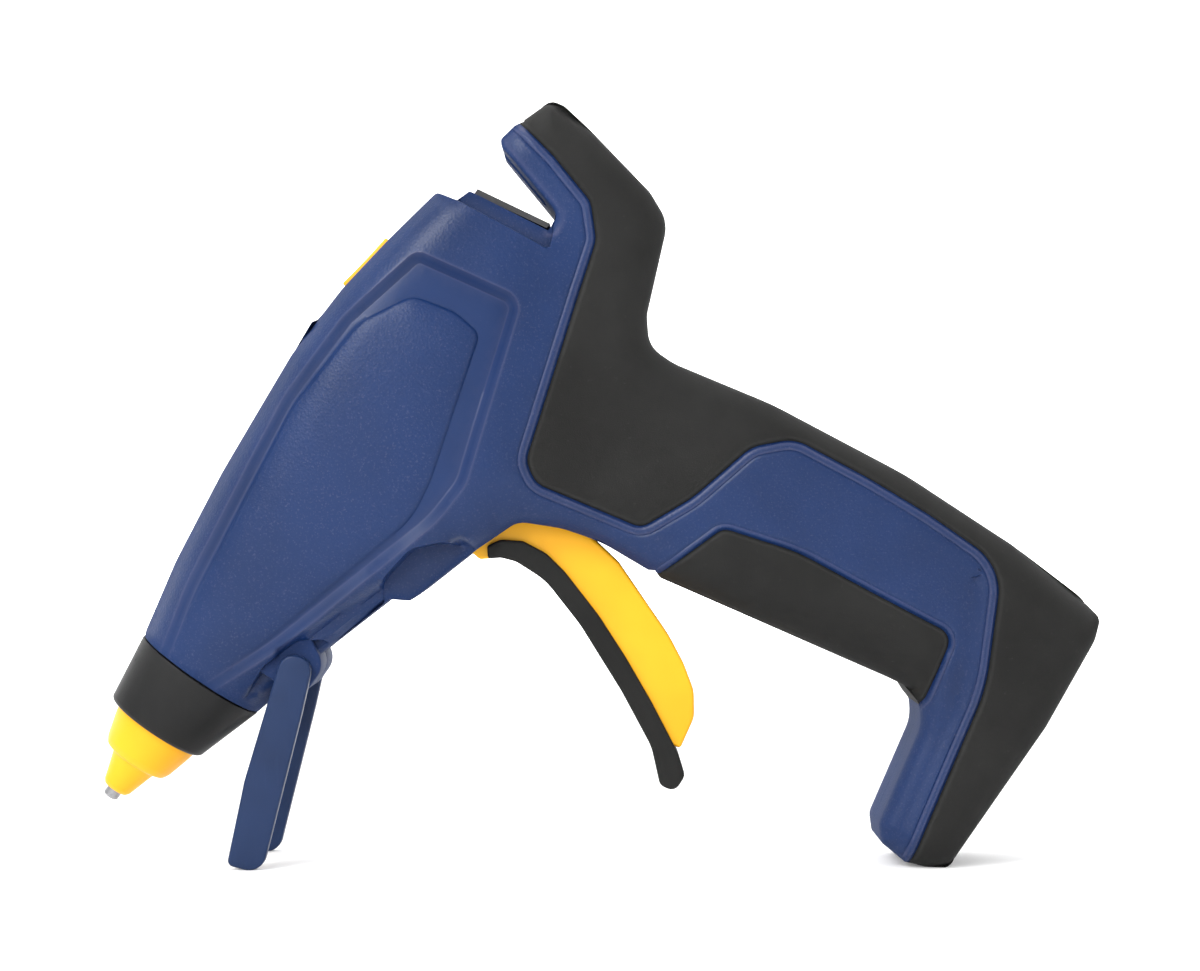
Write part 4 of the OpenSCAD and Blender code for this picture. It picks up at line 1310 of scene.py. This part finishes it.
        # walls of the channel through the hook
        middle = flat[faces].mean(1)
        tine = body.in_channel(middle)
        cap = {}
        for a, b, c in faces[tine]:
            row = []
            for i in (a, b, c):
                if i not in cap:
                    cap[i] = vertex(flat[i][0], body.channel_half, flat[i][1])
                row.append(cap[i])
            face(*row)
        level = {
            (i, j)
            for a, b, c in faces[tine]
            for i, j in ((a, b), (b, c), (c, a))
            if all(abs(flat[k][1] + body.channel_half) < 0.02 for k in (i, j))
        }
        floor = {}
        for i, j in level:
            for k in (i, j):
                if k not in floor:
                    floor[k] = vertex(flat[k][0], body.seam, flat[k][1])
            face(cap[i], cap[j], floor[j], floor[i])
        data = bpy.data.meshes.new(name)
        bmesh.ops.remove_doubles(mesh, verts=mesh.verts, dist=0.004)
        mesh.to_mesh(data)
        mesh.free()
        obj = bpy.data.objects.new(name, data)
        bpy.context.scene.collection.objects.link(obj)
        Bench.modify(
            obj, "SOLIDIFY", thickness=self.THICKNESS, offset=-1.0, use_rim=True, use_even_offset=False
        )
        self._keep_inside(obj)
        Bench.shade(obj, 42)
        return obj

    def _keep_inside(self, obj: bpy.types.Object) -> None:
        """Draws inner points that a sharp corner pushed out of the outline back in."""
        rim = self.body.rim
        place = np.array([v.co[:] for v in obj.data.vertices])
        flat = place[:, [0, 2]]
        gap = signed(flat, rim)
        out = np.nonzero(gap < -0.02)[0]
        if len(out) == 0:
            return
        reach = 0.05
        slope = np.stack(
            [
                signed(flat[out] + step, rim) - signed(flat[out] - step, rim)
                for step in (np.array([reach, 0]), np.array([0, reach]))
            ],
            axis=1,
        ) / (2 * reach)
        moved = flat[out] + slope * (0.35 - gap[out])[:, None]
        for i, (x, z) in zip(out, moved):
            obj.data.vertices[int(i)].co.x = x
            obj.data.vertices[int(i)].co.z = z
        obj.data.update()


# ---------------------------------------------------------------- sub-assemblies


@dataclass
class Shell:
    """Housing halves and rubber grips of both sides."""

    body: Body
    lug_r: float = 4.5
    lug_half: float = 13.2
    pivot: Point = STAND_PIVOT

    def build(self, finishes: Finishes) -> list[bpy.types.Object]:
        """Makes the six skin pieces and the lug of the stand.

        Args:
            finishes: the finishes to dress them in.

        Returns:
            The new pieces.
        """
        made = []
        for side, word in ((Side.LEFT, "left"), (Side.RIGHT, "right")):
            skin = Skin(self.body, side)
            for region, finish in (
                (Region.HOUSING, Finish.HOUSING),
                (Region.REAR, Finish.GRIP),
                (Region.FRONT, Finish.GRIP),
            ):
                node = f"{region.value}_{word}"
                piece = skin.piece(region, f"skin_{node}")
                if region is Region.HOUSING:
                    piece = Bench.join(piece.name, [piece, self._lug(side)])
                Bench.stand_up(piece)
                finishes.dress(piece, finish)
                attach(piece, "housing")
                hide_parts(node)
                made.append(piece)
                log.info("piece %s, %d faces", piece.name, len(piece.data.polygons))
        return made

    def _lug(self, side: Side) -> bpy.types.Object:
        """Half of the lug that the stand's pin goes through."""
        x, z = self.pivot
        r = self.lug_r
        shape = outline(
            corners((x - r, z + 3), (x - r, z - r, r - 0.1), (x + r, z - r, r - 0.1),
                    (x + r + 4.6, z + 4, 2), (x + r + 4.6, z + 8), (x - r, z + 8)),
            0.8,
        )
        low, high = sorted((side.value * 0.05, side.value * self.lug_half))
        lug = Bench.prism(f"lug_{side.value}", shape, low, high, 0.5, 3)
        for name, value in (("grain", 0.5), ("wall", 0.7)):
            mark = lug.data.attributes.new(name, "FLOAT", "POINT")
            for item in mark.data:
                item.value = value
        Bench.shade(lug, 35)
        return lug


@dataclass
class Nose:
    """Nose ring, yellow sleeve and metal tip."""

    ring_front: float = 18.6
    ring_back: float = 34.1

    def build(self, finishes: Finishes) -> list[bpy.types.Object]:
        """Turns the three pieces."""
        return [self._ring(finishes), self._sleeve(finishes), self._tip(finishes)]

    def _finish(
        self, obj: bpy.types.Object, node: str, finish: Finish, finishes: Finishes, angle: float = 30
    ) -> bpy.types.Object:
        """Stands a piece up, dresses it and lets it take its node's place."""
        Bench.shade(obj, angle)
        Bench.stand_up(obj)
        finishes.dress(obj, finish)
        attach(obj, "housing")
        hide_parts(node)
        log.info("piece %s, %d faces", obj.name, len(obj.data.polygons))
        return obj

    def _ring(self, finishes: Finishes) -> bpy.types.Object:
        """Black ring, whose back is a little lower than its front."""
        front, back = self.ring_front, self.ring_back
        profile = [(front, 10.55)]
        profile += [
            (front + 1.3 - 1.3 * math.cos(a), 10.8 + 1.2 * math.sin(a))
            for a in np.linspace(0.1, math.pi / 2, 7)
        ]
        profile += [(back - 0.5, 15.15), (back - 0.15, 15.1), (back, 14.8), (back, 12.2), (back + 2.2, 12.1),
                    (back + 2.2, 10.9), (back - 8.5, 10.9), (back - 8.5, 10.55)]
        ring = Bench.turned("nose_band", profile, 128)
        for vertex in ring.data.vertices:
            vertex.co.z += 0.4 - 1.5 * (vertex.co.x - front) / (back - front)
        return self._finish(ring, "nose_ring", Finish.RING, finishes)

    def _sleeve(self, finishes: Finishes) -> bpy.types.Object:
        """Yellow sleeve: two cones with a rounded step between them."""
        outer = outline(
            corners((2.1, 2.25), (2.15, 2.7, 0.3), (2.9, 3.3, 0.6), (8.2, 4.95, 1.2), (9.5, 5.4, 1.0),
                    (9.9, 7.3, 1.1), (11.4, 8.15, 1.2), (18.5, 10.15, 30), (24.5, 10.4)),
            0.5,
            False,
        )
        profile = [tuple(p) for p in outer] + [(24.5, 6.1), (12.3, 6.1), (12.3, 3.7), (7, 3.7), (4.1, 2.25)]
        return self._finish(
            Bench.turned("nozzle_cover", profile, 112), "nozzle_sleeve", Finish.SLEEVE, finishes, 38
        )

    def _tip(self, finishes: Finishes) -> bpy.types.Object:
        """Metal tip with its orifice."""
        profile = [(0.3, 0.75), (0.0, 1.0), (0.0, 1.35), (0.35, 1.75), (4.9, 1.75), (7.1, 3.3), (7.2, 3.58),
                   (12.1, 3.58), (12.1, 3.38), (21.9, 3.38), (21.9, 2.0), (6, 2.0), (6, 0.75)]
        return self._finish(
            Bench.turned("nozzle_point", profile, 64), "nozzle_tip", Finish.NOZZLE, finishes
        )


@dataclass
class Trigger:
    """Yellow lever and its black pad."""

    half: float = 6.0
    arm_half: float = 3.0
    pad_half: float = 7.5
    link: Point = (103.5, -11.0)

    def build(self, finishes: Finishes) -> list[bpy.types.Object]:
        """Makes the lever and the pad."""
        lever = self._lever()
        pad = self._pad()
        for obj, node, finish in (
            (lever, "trigger_lever", Finish.TRIGGER),
            (pad, "trigger_pad", Finish.GRIP),
        ):
            Bench.shade(obj, 35)
            Bench.stand_up(obj)
            finishes.dress(obj, finish)
            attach(obj, "trigger")
            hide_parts(node)
            log.info("piece %s, %d faces", obj.name, len(obj.data.polygons))
        return [lever, pad]

    def _lever(self) -> bpy.types.Object:
        """Curved lever with the arm that pushes the feed."""
        blade = outline(
            corners((90.6, -35.2, 0.8), (90.4, -37.6, 1), (91.9, -39.4, 0.8), (95, -40, 2), (97.4, -43.2, 3),
                    (98.0, -48.6, 6), (97.0, -56.6, 15), (93.5, -66.5, 30), (89.5, -77, 30),
                    (84.6, -87.0, 20), (80.8, -94.6, 4), (81.4, -97.6, 0.8), (88.8, -96.2, 5),
                    (93.6, -92.8, 8), (97.2, -87.6, 12), (100.4, -81.4, 30), (107.3, -63.2, 4),
                    (109.3, -50, 20), (108.4, -36.5, 8), (106, -27.5, 2), (96, -27.5, 4), (91.6, -31, 2)),
            0.9,
        )
        body = Bench.prism("lever", blade, -self.half, self.half, 0.7, 4)
        x, z = self.link
        slot = 1.85
        arm = outline(
            corners((104.5, -30, 1), (107.6, -28, 2), (x + 3.6, z - 5, 6), (x + 3.6, z + 2.6, 0.8),
                    (x + slot, z + 2.6, 0.3), (x + slot, z - 4, 1.8), (x - slot, z - 4, 1.8),
                    (x - slot, z + 2.6, 0.3), (x - 3.6, z + 2.6, 0.8), (x - 3.8, z - 6, 3), (97, -26.5, 2),
                    (97, -30, 1)),
            0.7,
        )
        arm_piece = Bench.prism("lever_arm", arm, -self.arm_half, self.arm_half, 0.3, 2)
        return Bench.join("trigger_blade", [body, arm_piece])

    def _pad(self) -> bpy.types.Object:
        """Soft pad on the front of the lever, with rounded edges."""
        shape = outline(
            corners((91.6, -39.0, 0.6), (93.8, -37.2, 0.8), (96.6, -38.8, 2), (99.2, -43.1, 3),
                    (99.9, -48.8, 6), (98.9, -54.5, 15), (95.3, -66, 30), (91.2, -76, 30), (86.2, -86.6, 20),
                    (80.2, -98, 8), (77.2, -101.8, 2), (73.0, -101.9, 2), (72.3, -98.4, 2), (78.2, -92, 12),
                    (84.5, -79.6, 30), (91.2, -64, 30), (94.9, -52, 15), (94.6, -44.4, 5), (93.4, -41.2, 2)),
            0.9,
        )
        return Bench.prism("trigger_cushion", shape, -self.pad_half, self.pad_half, 2.0, 6)


@dataclass
class Stand:
    """Fold-out stand of two legs on one bridge."""

    pivot: Point = STAND_PIVOT
    open_angle: float = 20.0
    gap_half: float = 13.5
    thick: float = 3.2
    width: float = 8.8
    foot_r: float = 4.0

    def build(self, finishes: Finishes) -> bpy.types.Object:
        """Makes the legs and the bridge and joins them."""
        lean = math.radians(STANCE.lean)
        drop = self.pivot[0] * math.sin(lean) + self.pivot[1] * math.cos(lean) - STANCE.floor_z
        foot, w = self.foot_r, self.width / 2
        splay = math.radians(90 - (STANCE.lean + self.open_angle))
        length = (drop - foot - (w - foot) * math.sin(splay)) / math.cos(splay) + foot
        leg = outline(
            corners((-3.5, -3.5, 3.3), (-3.5, 3.5, 3.3), (9, 3.95, 40), (length, w, foot),
                    (length, -w + 1.0, 1.4), (length * 0.58, -w, 3), (10, -3.9, 30)),
            0.8,
        )
        parts = []
        for sign in (-1, 1):
            low, high = sorted((sign * self.gap_half, sign * (self.gap_half + self.thick)))
            parts.append(Bench.prism(f"leg_{sign}", leg, low, high, 0.55, 4))
        Bench.clear()
        bpy.ops.mesh.primitive_cylinder_add(
            vertices=32, radius=1.3, depth=2 * self.gap_half + 2, location=(8, 0, -1.5),
            rotation=(math.pi / 2, 0, 0),
        )
        bpy.ops.object.transform_apply(location=True, rotation=True, scale=True)
        parts.append(bpy.context.object)
        stand = Bench.join("stand_legs", parts)
        x, z = self.pivot
        stand.data.transform(
            Matrix.Translation((x, 0, z))
            @ Matrix.Rotation(math.radians(-180 - self.open_angle), 4, "Y")
        )
        Bench.shade(stand, 35)
        Bench.stand_up(stand)
        finishes.dress(stand, Finish.STAND)
        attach(stand, "stand")
        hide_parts("stand")
        log.info("piece %s, %d faces", stand.name, len(stand.data.polygons))
        return stand


@dataclass
class Button:
    """Power button on the sloping top of the barrel."""

    at: Point = (129.7, 19.6)
    slope: float = 8.7
    length: float = 14.0
    half: float = 4.5
    proud: float = 1.5

    def build(self, finishes: Finishes) -> bpy.types.Object:
        """Makes the button with the finger hollow on its top."""
        n = 12
        top = [
            (-self.length / 2 + self.length * k / n, self.proud - 0.15 * math.sin(math.pi * k / n))
            for k in range(n + 1)
        ]
        shape = np.array([(self.length / 2, -4.0), (-self.length / 2, -4.0)] + top)
        button = Bench.prism("power_key", shape, -self.half, self.half, 0.45, 3)
        stem = Bench.prism(
            "power_stem", np.array([(-2, -8.4), (2, -8.4), (2, -3.8), (-2, -3.8)]), -2, 2, 0.2, 2
        )
        button = Bench.join("power_key", [button, stem])
        x, z = self.at
        button.data.transform(
            Matrix.Translation((x, 0, z)) @ Matrix.Rotation(math.radians(self.slope), 4, "Y")
        )
        Bench.shade(button, 35)
        Bench.stand_up(button)
        finishes.dress(button, Finish.TRIGGER)
        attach(button, "button")
        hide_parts("power_button")
        log.info("piece %s, %d faces", button.name, len(button.data.polygons))
        return button


# ---------------------------------------------------------------- studio


@dataclass(frozen=True)
class Lamp:
    """A soft square lamp, in metres and watts, and the point it is aimed at."""

    name: str
    place: tuple
    size: float
    power: float
    aim: tuple


@dataclass
class Studio:
    """Floor, light and camera."""

    LAMPS = (
        Lamp("key", (-0.52, -0.70, 0.80), 0.42, 7.5, (0, 0, 0.09)),
        Lamp("sheen", (-0.38, -0.95, 0.42), 0.24, 2.2, (-0.03, 0, 0.09)),
        Lamp("fill", (0.9, -0.8, 0.35), 0.8, 0.3, (0, 0, 0.08)),
        Lamp("top", (-0.1, 0.15, 1.1), 0.7, 4.0, (0, 0, 0.10)),
    )
    SKY = (0.96, 0.98, 1.0, 1)
    SKY_STRENGTH = 0.10

    camera_at: tuple = (-0.0002, -0.600, 0.0832)
    lens: float = 81.0

    def build(self) -> None:
        """Sets up the whole studio."""
        self._sweep()
        self._light()
        self._camera()

    def _sweep(self) -> None:
        """Pale floor that sweeps up into a glowing backdrop."""
        Bench.clear()
        bpy.ops.mesh.primitive_plane_add(size=1, location=(0, 0, 0))
        floor = bpy.context.object
        floor.name = floor.data.name = "studio_sweep"
        for vertex, place in zip(floor.data.vertices, ((-5, -3), (5, -3), (-5, 1.2), (5, 1.2))):
            vertex.co = (*place, 0)
        floor.data.update()
        Bench.pick(floor)
        bpy.ops.object.mode_set(mode="EDIT")
        mesh = bmesh.from_edit_mesh(floor.data)
        for edge in mesh.edges:
            edge.select_set(all(v.co.y > 1 for v in edge.verts))
        bmesh.update_edit_mesh(floor.data)
        bpy.ops.mesh.spin(
            steps=16, angle=math.pi / 2, center=(0, 1.2, 0.5), axis=(1, 0, 0), dupli=False
        )
        bpy.ops.mesh.extrude_region_move(TRANSFORM_OT_translate={"value": (0, 0, 3.0)})
        bpy.ops.object.mode_set(mode="OBJECT")
        Bench.outward(floor)
        Bench.shade(floor, 40)
        paint = Paint("studio_white")
        haze = paint.noise(0.8, 2.0).band(0.2, 0.8)
        across = paint.node("SeparateXYZ", None, paint.place(), out="Y")
        away = across.band(0.15, 1.3)
        colour = paint.blend(haze * 0.3, (0.88, 0.88, 0.88), (0.84, 0.84, 0.85))
        white = paint.blend(away, (0.20, 0.20, 0.20), (1.15, 1.15, 1.15))
        floor.data.materials.append(
            paint.finish(Base_Color=colour, Roughness=0.9, Specular_IOR_Level=0.1,
                         Emission_Color=white, Emission_Strength=0.8)
        )
        floor.active_material.cycles.emission_sampling = "NONE"

    def _light(self) -> None:
        """Soft light from above and the left, with a dimmer surround."""
        world = bpy.data.worlds.new("surround")
        bpy.context.scene.world = world
        world.use_nodes = True
        background = world.node_tree.nodes["Background"].inputs
        background["Color"].default_value = self.SKY
        background["Strength"].default_value = self.SKY_STRENGTH
        for lamp in self.LAMPS:
            data = bpy.data.lights.new(lamp.name, "AREA")
            data.energy, data.size = lamp.power, lamp.size
            placed = bpy.data.objects.new(lamp.name, data)
            bpy.context.scene.collection.objects.link(placed)
            placed.location = lamp.place
            ahead = Vector(lamp.aim) - Vector(lamp.place)
            placed.rotation_euler = ahead.to_track_quat("-Z", "Y").to_euler()

    def _camera(self) -> None:
        """Camera level with the gun's middle, looking at its left side."""
        data = bpy.data.cameras.new("camera")
        data.lens, data.sensor_width = self.lens, 36.0
        data.clip_start, data.clip_end = 0.01, 50
        camera = bpy.data.objects.new("camera", data)
        bpy.context.scene.collection.objects.link(camera)
        camera.location = self.camera_at
        camera.rotation_euler = (math.pi / 2, 0, 0)
        bpy.context.scene.camera = camera
        bpy.context.scene.view_settings.view_transform = "Standard"


def main() -> None:
    """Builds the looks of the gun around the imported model."""
    logging.basicConfig(level=logging.INFO, format="%(message)s")
    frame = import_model()
    finishes = Finishes()
    finishes.dress_frame(frame)
    Shell(Body()).build(finishes)
    Nose().build(finishes)
    Trigger().build(finishes)
    Stand().build(finishes)
    Button().build(finishes)
    Studio().build()


if __name__ == "__main__":
    main()
